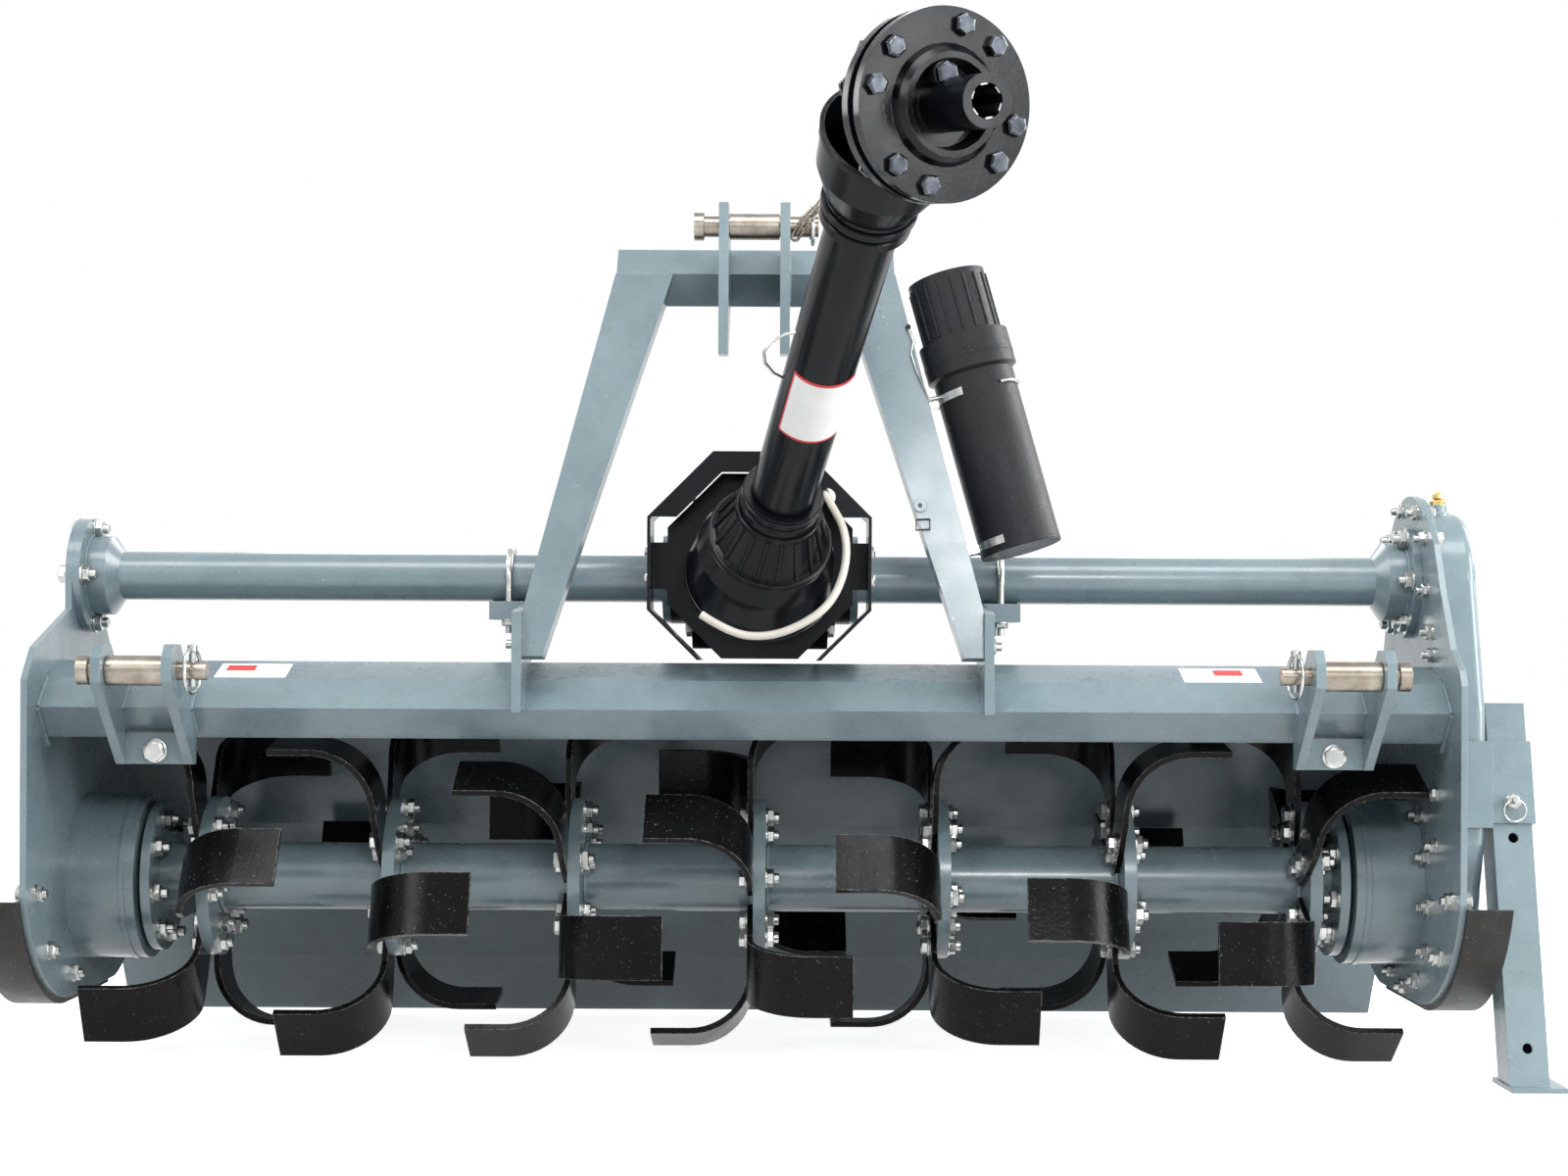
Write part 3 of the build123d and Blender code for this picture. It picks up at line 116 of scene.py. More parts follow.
def axes(along, hint=None):
    """Two unit vectors across a direction, the first as near hint as it can be."""
    along = Vector(along).normalized()
    hint = Vector(hint) if hint is not None else Vector((0, 0, 1))
    if abs(along.dot(hint.normalized())) > 0.98:
        hint = Vector((0, 1, 0))
    first = (hint - along * hint.dot(along)).normalized()
    return first, along.cross(first)


def circle(centre, first, second, radius, sides, spin=0.0):
    """Points round a circle in the plane of two unit vectors, spin in radians."""
    points = []
    for k in range(sides):
        a = spin + 2 * math.pi * k / sides
        points.append(centre + (first * math.cos(a) + second * math.sin(a)) * radius)
    return points


def skin(rings, sides, closed=False):
    """Faces from each ring of points to the next, with flat ends unless the last ring meets the first."""
    faces = []
    for i in range(rings if closed else rings - 1):
        j = (i + 1) % rings
        for k in range(sides):
            n = (k + 1) % sides
            faces.append([i * sides + k, i * sides + n, j * sides + n, j * sides + k])
    if not closed:
        faces.append(list(range(sides))[::-1])
        faces.append([(rings - 1) * sides + k for k in range(sides)])
    return faces


def turn(shape, centre, along, profile, material, sides=24, spin=0.0, smooth=True):
    """A turned solid from (distance, radius) pairs, closed at both ends, spin in degrees."""
    centre, along = Vector(centre), Vector(along).normalized()
    first, second = axes(along)
    verts = []
    for distance, radius in profile:
        middle = centre + along * distance
        verts += circle(middle, first, second, radius, sides, math.radians(spin))
    shape.add(verts, skin(len(profile), sides), material, smooth)


def hoop(shape, centre, along, low, high, inner, outer, material, sides=56):
    """A turned ring open in the middle, its outer corners chamfered."""
    centre, along = Vector(centre), Vector(along).normalized()
    first, second = axes(along)
    profile = [(low, inner), (low, outer - 1.5), (low + 1.2, outer)]
    profile += [(high - 1.2, outer), (high, outer - 1.5), (high, inner)]
    verts = []
    for distance, radius in profile:
        verts += circle(centre + along * distance, first, second, radius, sides)
    shape.add(verts, skin(len(profile), sides, closed=True), material)


def tube(shape, points, radius, material, sides=10, closed=False):
    """A round bar along points; radius is a number or a function of the point's index."""
    points = [Vector(p) for p in points]
    count = len(points)
    verts = []
    first = None
    for i, p in enumerate(points):
        ahead = points[(i + 1) % count] if closed or i + 1 < count else p
        behind = points[i - 1] if closed or i > 0 else p
        first, second = axes((ahead - behind).normalized(), first)
        r = radius(i) if callable(radius) else radius
        verts += circle(p, first, second, r, sides)
    shape.add(verts, skin(count, sides, closed), material)


# faces of a box from the four corners of one end, then the four of the other
BOX_FACES = [[3, 2, 1, 0], [4, 5, 6, 7]]
BOX_FACES += [[k, (k + 1) % 4, (k + 1) % 4 + 4, k + 4] for k in range(4)]


def arc(centre, first, second, radius, start, end, steps):
    """Points on an arc in the plane of two unit vectors, angles in degrees."""
    centre, first, second = Vector(centre), Vector(first), Vector(second)
    points = []
    for k in range(steps + 1):
        a = math.radians(start + (end - start) * k / steps)
        points.append(centre + (first * math.cos(a) + second * math.sin(a)) * radius)
    return points


# bolt sizes: thread radius, half width across flats, head height, washer radius, washer thickness
SIZES = {
    "m8": (4.0, 6.5, 5.3, 8.0, 1.6),
    "m10": (5.0, 8.5, 6.4, 10.0, 2.0),
    "m12": (6.0, 9.5, 7.5, 12.0, 2.5),
    "m14": (7.0, 10.5, 8.8, 14.0, 2.5),
    "m16": (8.0, 12.0, 10.0, 15.0, 3.0),
}


def hexagon(shape, seat, out, flats, height, material, spin):
    """A six-sided nut or head with chamfered corners, standing on its seat."""
    corner = flats / math.cos(math.pi / 6)
    turn(
        shape,
        seat,
        out,
        [(0.0, flats), (0.5, corner), (height - 1.4, corner), (height, flats * 0.93)],
        material,
        sides=6,
        spin=spin,
        smooth=False,
    )


def bolt(shape, seat, out, size, kind, spin, reach=None):
    """A zinc washer with a head, or with a nut and the thread's end, standing on seat along out."""
    thread, flats, height, washer, washer_t = SIZES[size]
    seat, out = Vector(seat), Vector(out).normalized()
    turn(
        shape,
        seat,
        out,
        [(0.0, washer), (washer_t - 0.4, washer), (washer_t, washer - 0.6)],
        ZINC,
        sides=20,
    )
    hexagon(shape, seat + out * washer_t, out, flats, height, ZINC, spin)
    if kind == "nut":
        top = washer_t + height
        reach = thread * 0.9 if reach is None else reach
        turn(
            shape,
            seat + out * (top - 0.5),
            out,
            [(0.0, thread * 0.95), (reach - 0.8, thread * 0.95), (reach, thread * 0.75)],
            ZINC,
            sides=14,
        )
    else:
        turn(
            shape,
            seat + out * (washer_t + height - 0.2),
            out,
            [(0.0, flats * 0.86), (0.5, flats * 0.8)],
            ZINC,
            sides=18,
        )


def bead(shape, start, end, radius, seed):
    """A weld bead between two points, its ripples from a seeded wave."""
    start, end = Vector(start), Vector(end)
    steps = max(4, int((end - start).length / 4.0))
    points = [start.lerp(end, i / steps) for i in range(steps + 1)]

    def ripple(i):
        wave = noise.noise(Vector((seed * 7.3, i * 0.9, 0.0)))
        return radius * (1.0 + 0.16 * math.sin(i * 2.2) + 0.22 * wave)

    tube(shape, points, ripple, WELD, sides=7)


def spring(shape, centre, along, radius, wire, length, turns, material):
    """A coil spring standing on centre."""
    along = Vector(along).normalized()
    first, second = axes(along)
    points = []
    steps = int(turns * 14)
    for i in range(steps + 1):
        a = 2 * math.pi * turns * i / steps
        points.append(
            Vector(centre)
            + along * (wire + (length - 2 * wire) * i / steps)
            + (first * math.cos(a) + second * math.sin(a)) * radius
        )
    tube(shape, points, wire, material, sides=7)


# ---- Materials ----
def node_maker(tree):
    """A function that adds a node of a kind to the tree, with the settings given."""

    def node(kind, **values):
        made = tree.nodes.new(kind)
        for key, value in values.items():
            setattr(made, key, value)
        return made

    return node


def shader(name):
    """A new node material, the ways to join and add its nodes, and its Principled node."""
    material = bpy.data.materials.new(name)
    material.use_nodes = True
    tree = material.node_tree
    return material, tree.links.new, node_maker(tree), tree.nodes["Principled BSDF"]


def ramp(node, link, source, stops):
    """A colour ramp fed by source, with (position, colour) stops."""
    made = node("ShaderNodeValToRGB")
    elements = made.color_ramp.elements
    while len(elements) < len(stops):
        elements.new(0.5)
    for element, (position, colour) in zip(elements, stops):
        element.position = position
        element.color = (*colour, 1.0)
    link(source, made.inputs["Fac"])
    return made.outputs["Color"]


def grey(value):
    return (value, value, value)


def coated(
    name,
    light,
    dark,
    rough=(0.32, 0.5),
    metallic=0.0,
    speck=None,
    speck_share=0.0,
    edge=None,
    edge_share=0.5,
    bump=0.06,
    bump_scale=420.0,
    coat=0.0,
    patch_scale=7.0,
    round_edges=0.0012,
    grime=0.25,
    specular=0.5,
):
    """Paint, plating or moulded plastic: patches, grime, specks, worn edges (in the black paint also a
    painted highlight on the rims) and a fine bump.
    """
    material, link, node, out = shader(name)
    place = node("ShaderNodeTexCoord").outputs["Object"]

    def cloud(scale, detail=4.0, roughness=0.55):
        made = node("ShaderNodeTexNoise")
        made.inputs["Scale"].default_value = scale
        made.inputs["Detail"].default_value = detail
        made.inputs["Roughness"].default_value = roughness
        link(place, made.inputs["Vector"])
        return made.outputs["Fac"]

    def mix(kind, factor, a, b):
        made = node("ShaderNodeMix", data_type="RGBA", blend_type=kind)
        if isinstance(factor, float):
            made.inputs["Factor"].default_value = factor
        else:
            link(factor, made.inputs["Factor"])
        for socket, value in ((made.inputs["A"], a), (made.inputs["B"], b)):
            if isinstance(value, tuple):
                socket.default_value = (*value, 1.0)
            else:
                link(value, socket)
        return made.outputs["Result"]

    colour = ramp(node, link, cloud(patch_scale), [(0.32, dark), (0.68, light)])
    dirt = ramp(node, link, cloud(38.0, 6.0, 0.7), [(0.42, grey(1.0)), (0.72, grey(1.0 - grime))])
    colour = mix("MULTIPLY", 1.0, colour, dirt)
    bevel = node("ShaderNodeBevel", samples=4)
    bevel.inputs["Radius"].default_value = round_edges
    # a lighter colour on rounded edges: worn paint, and in the black paint also a painted highlight on the
    # rims
    if edge:
        turned = node("ShaderNodeVectorMath", operation="DOT_PRODUCT")
        link(bevel.outputs["Normal"], turned.inputs[0])
        link(node("ShaderNodeNewGeometry").outputs["Normal"], turned.inputs[1])
        near = ramp(node, link, turned.outputs["Value"], [(0.80, grey(1.0)), (0.985, grey(0.0))])
        ragged = ramp(
            node, link, cloud(130.0, 5.0, 0.7), [(0.40, grey(0.0)), (0.60, grey(edge_share))]
        )
        edge_wear_and_rim_highlight = mix("MULTIPLY", 1.0, near, ragged)
        colour = mix("MIX", edge_wear_and_rim_highlight, colour, edge)
    if speck:
        dots = ramp(
            node,
            link,
            cloud(260.0, 3.0, 0.6),
            [(0.66 - speck_share, grey(0.0)), (0.70 - speck_share, grey(1.0))],
        )
        colour = mix("MIX", dots, colour, speck)
    link(colour, out.inputs["Base Color"])
    shine = ramp(
        node, link, cloud(22.0, 5.0, 0.6), [(0.3, grey(rough[0])), (0.7, grey(rough[1]))]
    )
    link(shine, out.inputs["Roughness"])
    out.inputs["Metallic"].default_value = metallic
    out.inputs["Specular IOR Level"].default_value = specular
    out.inputs["Coat Weight"].default_value = coat
    out.inputs["Coat Roughness"].default_value = 0.15
    raised = node("ShaderNodeBump")
    raised.inputs["Strength"].default_value = bump
    raised.inputs["Distance"].default_value = 0.001
    link(cloud(bump_scale, 3.0, 0.6), raised.inputs["Height"])
    link(bevel.outputs["Normal"], raised.inputs["Normal"])
    link(raised.outputs["Normal"], out.inputs["Normal"])
    return material


BLUE = coated(
    "blue_grey_paint",
    (0.186, 0.252, 0.276),
    (0.154, 0.212, 0.234),
    rough=(0.22, 0.36),
    edge=(0.52, 0.57, 0.58),
    edge_share=0.5,
    speck=(0.48, 0.52, 0.53),
    speck_share=-0.04,
    bump=0.05,
    coat=0.3,
    grime=0.12,
)
# its light edge colour is partly wear and partly a painted highlight on the rims
BLACK = coated(
    "black_paint",
    (0.008, 0.010, 0.013),
    (0.003, 0.004, 0.005),
    rough=(0.13, 0.26),
    edge=(0.32, 0.35, 0.38),
    edge_share=0.6,
    bump=0.10,
    bump_scale=240.0,
    specular=0.2,
)
CASTING = coated(
    "black_casting",
    (0.007, 0.008, 0.010),
    (0.003, 0.004, 0.004),
    rough=(0.26, 0.44),
    edge=(0.07, 0.08, 0.09),
    bump=0.35,
    bump_scale=170.0,
    specular=0.1,
)
PLASTIC = coated(
    "guard_plastic",
    (0.006, 0.007, 0.009),
    (0.003, 0.003, 0.004),
    rough=(0.13, 0.22),
    edge=(0.09, 0.10, 0.11),
    edge_share=0.6,
    bump=0.08,
    bump_scale=520.0,
    grime=0.1,
    specular=0.14,
)
CANISTER = coated(
    "grained_plastic",
    (0.007, 0.008, 0.011),
    (0.003, 0.004, 0.005),
    rough=(0.24, 0.34),
    bump=0.5,
    bump_scale=720.0,
    grime=0.1,
    specular=0.25,
)
TINE = coated(
    "tine_paint",
    (0.006, 0.006, 0.006),
    (0.002, 0.002, 0.002),
    rough=(0.14, 0.30),
    speck=(0.10, 0.10, 0.09),
    speck_share=-0.004,
    edge=(0.60, 0.58, 0.52),
    edge_share=0.9,
    bump=0.30,
    bump_scale=190.0,
    round_edges=0.0014,
    specular=0.11,
)
ZINC = coated(
    "zinc_plate",
    (0.62, 0.63, 0.60),
    (0.40, 0.42, 0.41),
    rough=(0.20, 0.36),
    metallic=1.0,
    bump=0.05,
    patch_scale=60.0,
    round_edges=0.0006,
    grime=0.3,
)
DARK_ZINC = coated(
    "dark_bolt_steel",
    (0.085, 0.095, 0.110),
    (0.030, 0.034, 0.042),
    rough=(0.20, 0.36),
    metallic=1.0,
    edge=(0.55, 0.57, 0.60),
    edge_share=0.9,
    bump=0.08,
    patch_scale=60.0,
    round_edges=0.0008,
    grime=0.4,
)
YELLOW_ZINC = coated(
    "yellow_zinc",
    (0.40, 0.37, 0.32),
    (0.24, 0.20, 0.16),
    rough=(0.24, 0.40),
    metallic=1.0,
    bump=0.06,
    patch_scale=24.0,
    round_edges=0.0010,
    grime=0.35,
)
BRASS = coated(
    "brass",
    (0.78, 0.60, 0.26),
    (0.62, 0.44, 0.18),
    rough=(0.2, 0.34),
    metallic=1.0,
    patch_scale=60.0,
    round_edges=0.0005,
)
BARE = coated(
    "bare_steel",
    (0.36, 0.36, 0.35),
    (0.22, 0.21, 0.20),
    rough=(0.28, 0.46),
    metallic=1.0,
    bump=0.12,
    patch_scale=40.0,
)
# the skids are coloured near-black brown all over
SKID = coated(
    "dark_skid_paint",
    (0.032, 0.034, 0.035),
    (0.018, 0.016, 0.013),
    rough=(0.30, 0.50),
    speck=(0.16, 0.12, 0.08),
    speck_share=0.0,
    edge=(0.34, 0.32, 0.29),
    edge_share=0.7,
    bump=0.35,
    bump_scale=150.0,
    grime=0.4,
    specular=0.25,
)
CREAM = coated(
    "cream_hose",
    (0.64, 0.62, 0.56),
    (0.54, 0.51, 0.45),
    rough=(0.34, 0.48),
    bump=0.05,
    grime=0.12,
    patch_scale=18.0,
)
LABEL = coated(
    "blank_label", (0.86, 0.86, 0.85), (0.80, 0.80, 0.79), rough=(0.35, 0.5), bump=0.03, grime=0.08
)
RED = coated(
    "label_border", (0.62, 0.035, 0.04), (0.52, 0.03, 0.03), rough=(0.35, 0.5), bump=0.03, grime=0.08
)
WELD = coated(
    "painted_weld",
    (0.235, 0.315, 0.345),
    (0.150, 0.210, 0.235),
    rough=(0.28, 0.48),
    bump=0.30,
    bump_scale=260.0,
)

# ---- Materials of the CAD nodes ----
NODE_MATERIALS = {
    BLACK: ("pto_guard", "input_yoke", "slip_clutch", "front_shaft", "rear_shaft"),
    CASTING: ("gearbox",),
    PLASTIC: ("rear_guard", "front_guard"),
    CANISTER: ("manual_canister", "canister_cap", "canister_base"),
    TINE: ("tines_right_hand", "tines_left_hand"),
    ZINC: ("canister_clamps", "hose_fitting"),
    YELLOW_ZINC: (
        "top_link_pin",
        "top_link_bushing",
        "hitch_pin_left",
        "hitch_pin_right",
        "hitch_bushing_left",
        "hitch_bushing_right",
    ),
    BARE: ("rear_cross", "front_cross"),
    SKID: ("skid_left", "skid_right"),
    CREAM: ("breather_hose",),
}
material_of = {name: BLUE for name in nodes}
for material, names in NODE_MATERIALS.items():
    for name in names:
        material_of[name] = material
for name, node in nodes.items():
    node.data.materials.clear()
    node.data.materials.append(material_of[name])

# ---- Bolts on the side plates, gear case and hubs ----
OUT_R, OUT_L = (1, 0, 0), (-1, 0, 0)
TUBE_CIRCLE_L, TUBE_CIRCLE_R = 62.0, 64.0  # bolt circles of the drive tube's flanges
CASE_CIRCLE_TOP, CASE_CIRCLE_LOW = 101.0, 139.0  # of the gear case's round ends
HUB_CIRCLE = 124.0  # of the nuts round the right bearing hub
HUB_NUTS, HUB_NUTS_ABOVE = 12, 175.0  # nuts on the circle, made only above this height
plates = Shape("side_plate_bolts", "frame")


def spin_of(index):
    """A nut's turn about its axis, different from one to the next."""
    return (index * 37.0) % 60.0


def on_circle(y, z, radius, a):
    """The y and z of a point on a circle across X, at a radians from +Y towards +Z."""
    return y + radius * math.cos(a), z + radius * math.sin(a)


# left: the drive tube's flange, heads outside the plate and nuts on the flange
for k in range(4):
    y, z = on_circle(DRIVE_Y, DRIVE_Z, TUBE_CIRCLE_L, math.radians(90 * k))
    bolt(plates, (-PLATE_X - PLATE_T, y, z), OUT_L, "m14", "head", spin_of(k))
    bolt(plates, (-PLATE_X + 10.0, y, z), OUT_R, "m14", "nut", spin_of(k + 3), 8.0)

# right: the drive tube's flange, its nuts facing the gearbox
for k in range(6):
    y, z = on_circle(DRIVE_Y, DRIVE_Z, TUBE_CIRCLE_R, math.radians(60 * k))
    bolt(plates, (PLATE_X - 10.0, y, z), OUT_L, "m14", "nut", spin_of(k), 8.0)

# the gear case's flange, bolted all round through the right plate
CASE_BOLTS = []
for a in (-112, -64, -19, 28, 58, 98):
    a = math.radians(a)
    CASE_BOLTS.append((DRIVE_Y - CASE_CIRCLE_TOP * math.sin(a), DRIVE_Z + CASE_CIRCLE_TOP * math.cos(a)))
CASE_BOLTS += [(-131.0, 570.0), (-139.0, 541.0), (-149.0, 494.0)]
CASE_BOLTS += [(-157.0, 440.0), (-157.0, 365.0), (-154.0, 298.0)]
for a in (82, 55, 28, 1, -26, -53, -80):
    a = math.radians(a)
    CASE_BOLTS.append((-CASE_CIRCLE_LOW * math.sin(a), ROTOR_Z - CASE_CIRCLE_LOW * math.cos(a)))
for k, (y, z) in enumerate(CASE_BOLTS):
    bolt(plates, (PLATE_X, y, z), OUT_L, "m10", "nut", spin_of(k), 7.0)
    bolt(plates, (CASE_X, y, z), OUT_R, "m10", "head", spin_of(k + 5))

# beam ends, skid flanges and their nuts
for k, (y, z) in enumerate(((-225.0, 506.0), (-225.0, 433.0))):
    for side in (-1, 1):
        seat = (side * (PLATE_X + PLATE_T), y, z)
        bolt(plates, seat, (side, 0, 0), "m12", "head", spin_of(k + side + 4))
for k, (y, z) in enumerate(((-232.0, 236.0), (-178.0, 160.0), (-70.0, 118.0))):
    for side in (-1, 1):
        outside = side * (PLATE_X + PLATE_T + 6.0)
        bolt(plates, (outside, y, z), (side, 0, 0), "m12", "head", spin_of(k))
        bolt(plates, (side * PLATE_X, y, z), (-side, 0, 0), "m12", "nut", spin_of(k + 2))
plates.finish()

# hub caps: a raised ring on each bearing hub, and the upper nuts round the right one
hubs = Shape("bearing_hub_details", "frame")
for side in (-1, 1):
    turn(
        hubs,
        (side * (PLATE_X - HUB_DEPTH + 12.0), 0, ROTOR_Z),
        (side, 0, 0),
        [(0.0, 108.0), (0.5, 110.6), (7.0, 110.6), (7.5, 108.0)],
        BLUE,
        sides=72,
    )
for k in range(HUB_NUTS):
    y, z = on_circle(0.0, ROTOR_Z, HUB_CIRCLE, 2 * math.pi * (k + 0.35) / HUB_NUTS)
    if z > HUB_NUTS_ABOVE:
        bolt(hubs, (PLATE_X, y, z), OUT_L, "m12", "nut", spin_of(k), 8.0)
hubs.finish()

# ---- Bolts that turn with the rotor ----
FLANGES = [18.0 + 240.0 * (i - 3) for i in range(7)]
RIGHT_START, LEFT_START = -11.0, -70.0  # angle of the first right and left hand tine
TINE_STEP = 15.0  # turn from one flange's tines to the next flange's
ROOT_ANGLE = 200.0  # of a tine's bolts ahead of its own angle
TINE_BOLT_RADII = (64.0, 91.0)
END_CIRCLE = 78.0  # bolt circle of the rotor's end flanges
ROTOR_END = PLATE_X - HUB_DEPTH - 6.0
rotor = Shape("rotor_bolts", "rotor")
count = 0
for index, x in enumerate(FLANGES):
    for third in range(3):
        for start in (RIGHT_START, LEFT_START):
            a = math.radians(ROOT_ANGLE) + math.radians(start + TINE_STEP * index + 120.0 * third)
            for radius in TINE_BOLT_RADII:
                y, z = on_circle(0.0, ROTOR_Z, radius, a)
                count += 1
                bolt(rotor, (x - 16.0, y, z), OUT_L, "m14", "head", spin_of(count))
                bolt(rotor, (x + 8.0, y, z), OUT_R, "m14", "nut", spin_of(count + 7), 7.0)
for side in (-1, 1):
    for k in range(8):
        y, z = on_circle(0.0, ROTOR_Z, END_CIRCLE, math.radians(45 * k + 12))
        seat = (side * (ROTOR_END - 12.0), y, z)
        bolt(rotor, seat, (-side, 0, 0), "m14", "nut", spin_of(k), 9.0)
for x in FLANGES:
    for face, way in ((x - 8.0, -1), (x + 8.0, 1)):
        ring = arc((face + way * 1.5, 0, ROTOR_Z), (0, 1, 0), (0, 0, 1), 45.5, 0, 350, 35)
        tube(rotor, ring, 3.0, WELD, sides=6, closed=True)
rotor.finish()

# ---- Hitch details: lynch pins, bracket bolts, weld beads ----
hitch = Shape("hitch_fasteners", "frame")


def lynch(shape, centre, radius, lean=0.0):
    """A lynch pin's sprung ring round a hitch pin, with its short peg through the pin."""
    centre = Vector(centre)
    ahead = Vector((math.sin(math.radians(lean)), -math.cos(math.radians(lean)), 0))
    loop = arc(centre, (0, 0, 1), ahead, radius, -78, 252, 30)
    tube(shape, loop, 2.4, ZINC, sides=8, closed=True)
    peg = [centre + Vector((0, 0, radius - 1)), centre + Vector((0, 0, -radius * 0.72))]
    tube(shape, peg, 4.2, ZINC, sides=10)
    turn(
        shape,
        centre + Vector((0, 0, radius - 4)),
        (0, 0, 1),
        [(0.0, 4.4), (1.0, 6.0), (8.0, 6.0), (9.0, 4.6)],
        ZINC,
        sides=14,
    )


for side in (-1, 1):
    lynch(hitch, (side * 668.0, -300.0, 514.0), 27.0, lean=8.0 * side)
    bolt(hitch, (side * 735.0, -210.0, 414.0), (0, -1, 0), "m16", "head", 12.0)
lynch(hitch, (MAST_X + 71.0, -268.0, 1061.0), 21.0)
hitch.finish()

welds = Shape("weld_beads", "frame")
for side in (-1, 1):
    for k, x in enumerate((686.0, 698.0, 771.0, 783.0)):
        bead(welds, (side * x, -233.0, 466.0), (side * x, -193.0, 502.0), 2.6, k)
        bead(welds, (side * x, -229.0, 464.0), (side * x, -203.0, 440.0), 2.4, k + 4)
    for k, x in enumerate((MAST_X + side * 298.0, MAST_X + side * MAST_FOOT)):
        bead(welds, (x, -233.0, 466.0), (x, -193.0, 502.0), 2.6, k + 9)
    x = side * (PLATE_X - 1)
    bead(welds, (x, -232.0, 469.0), (x, -193.0, 504.0), 2.8, 30)
    bead(welds, (x, -232.0, 466.0), (x, -184.0, 419.0), 2.8, 31)
    for face in (DRIVE_Y - 33.0, DRIVE_Y + 33.0):
        x = MAST_X + side * MAST_FOOT
        bead(welds, (x + side * 14, face, 604.0), (x + side * 14, face, 583.0), 2.0, 33)
for x in (MAST_X - 43.4, MAST_X + 43.4):
    bead(welds, (x, -181.0, 1016.0), (x, -152.0, 1046.0), 2.4, 40)
    bead(welds, (x, -181.0, 1016.0), (x, -152.0, 986.0), 2.4, 41)
for x in (-PLATE_X + 10.5, PLATE_X - 10.5):
    ring = arc((x, DRIVE_Y, DRIVE_Z), (0, 1, 0), (0, 0, 1), 53.5, 0, 352, 44)
    tube(welds, ring, 2.4, WELD, sides=6, closed=True)
welds.finish()

# ---- U-bolts that hold the drive tube on its saddles ----
ubolts = Shape("drive_tube_u_bolts", "frame")
for side in (-1, 1):
    x = MAST_X + side * 323.0
    bend = arc((x, DRIVE_Y, DRIVE_Z), (0, 1, 0), (0, 0, 1), TUBE_BEND, 0, 180, 18)
    legs = []
    for y in (DRIVE_Y + TUBE_BEND, DRIVE_Y - TUBE_BEND):
        legs.append([Vector((x, y, z)) for z in (564.0, 600.0, 628.0)])
    tube(ubolts, legs[0] + bend + legs[1][::-1], 4.8, ZINC, sides=12)
    for k, y in enumerate((DRIVE_Y - TUBE_BEND, DRIVE_Y + TUBE_BEND)):
        bolt(ubolts, (x, y, SADDLE_LOW), (0, 0, -1), "m10", "nut", spin_of(k + side), 3.0)
ubolts.finish()

# mast feet: a bolt through each base plate
mast = Shape("mast_fasteners", "frame")
for side in (-1, 1):
    x = MAST_X + side * MAST_FOOT
    bolt(mast, (x, -150.0, 549.0), (-side, 0, 0), "m12", "head", 20.0)
    bolt(mast, (x + side * 12.0, -150.0, 549.0), (side, 0, 0), "m12", "nut", 5.0, 8.0)
# a button with a black dot of painted shade for its hole, and a thin black loop of painted shade along a
# small clip's outline, on the right leg's front face
leg_out = Vector((0.0, -0.9934, 0.1145))


def on_leg(x, z):
    """A point on the legs' front face."""
    return Vector((x, -236.0 + (z - 534.0) * 0.1153, z))


button = on_leg(217.0, 724.0)
turn(mast, button, leg_out, [(0, 8.5), (2.5, 8.5), (3.0, 8.0)], BLUE, sides=22)
# black dot: painted shade in the button's hole
turn(mast, button + leg_out * 2.6, leg_out, [(0, 2.6), (0.8, 2.6)], BLACK, sides=14)
# black loop: painted shade round the clip's outline
corners = [on_leg(x, z) + leg_out * 1.6 for x, z in ((212, 706), (229, 707), (229, 694), (212, 693))]
tube(mast, corners, 1.3, BLACK, sides=7, closed=True)
mast.finish()

# ---- Gearbox bolts, guard screws and breather ----
GEAR_CIRCLE = 72.0  # bolt circle of the gearbox's side covers
GUARD_WIDTH = 281.0
gear = Shape("gearbox_fasteners", "frame")
for k in range(8):
    y, z = on_circle(DRIVE_Y, DRIVE_Z, GEAR_CIRCLE, math.radians(45 * k + 22.5))
    for side in (-1, 1):
        bolt(gear, (GEAR_X + side * GEAR_HALF, y, z), (side, 0, 0), "m12", "head", spin_of(k))
for x in (-1, 1):
    for z in (574.0, 708.0):
        seat = (GEAR_X + x * 66.0, -88.0, z)
        bolt(gear, seat, (0, -1, 0), "m10", "head", 10.0)
turn(gear, (GEAR_X - 30, 20, 740), (0, 0, 1), [(0, 12), (6, 12), (7, 9), (14, 9)], BRASS, sides=6)
for side in (-1, 1):
    for z in (633.0, 669.0):
        seat = (GEAR_X + side * GUARD_WIDTH / 2, -128.0, z)
        bolt(gear, seat, (side, 0, 0), "m8", "head", 15.0)
# the gear case's filler plug on its stub: a hexagon and a turned top, both brass
PLUG_X, PLUG_Y = 914.0, -18.0
turn(
    gear,
    (PLUG_X, PLUG_Y, 724.0),
    (0, 0, 1),
    [(0.0, 15.0), (5.0, 15.0), (6.0, 11.0), (16.0, 11.0)],
    BLUE,
    sides=24,
)
hexagon(gear, (PLUG_X, PLUG_Y, 739.0), (0, 0, 1), 9.0, 8.0, BRASS, 10.0)
turn(
    gear,
    (PLUG_X, PLUG_Y, 747.0),
    (0, 0, 1),
    [(0.0, 5.0), (2.0, 7.5), (7.0, 7.5), (9.0, 4.0), (12.0, 3.0)],
    BRASS,
    sides=18,
)
gear.finish()

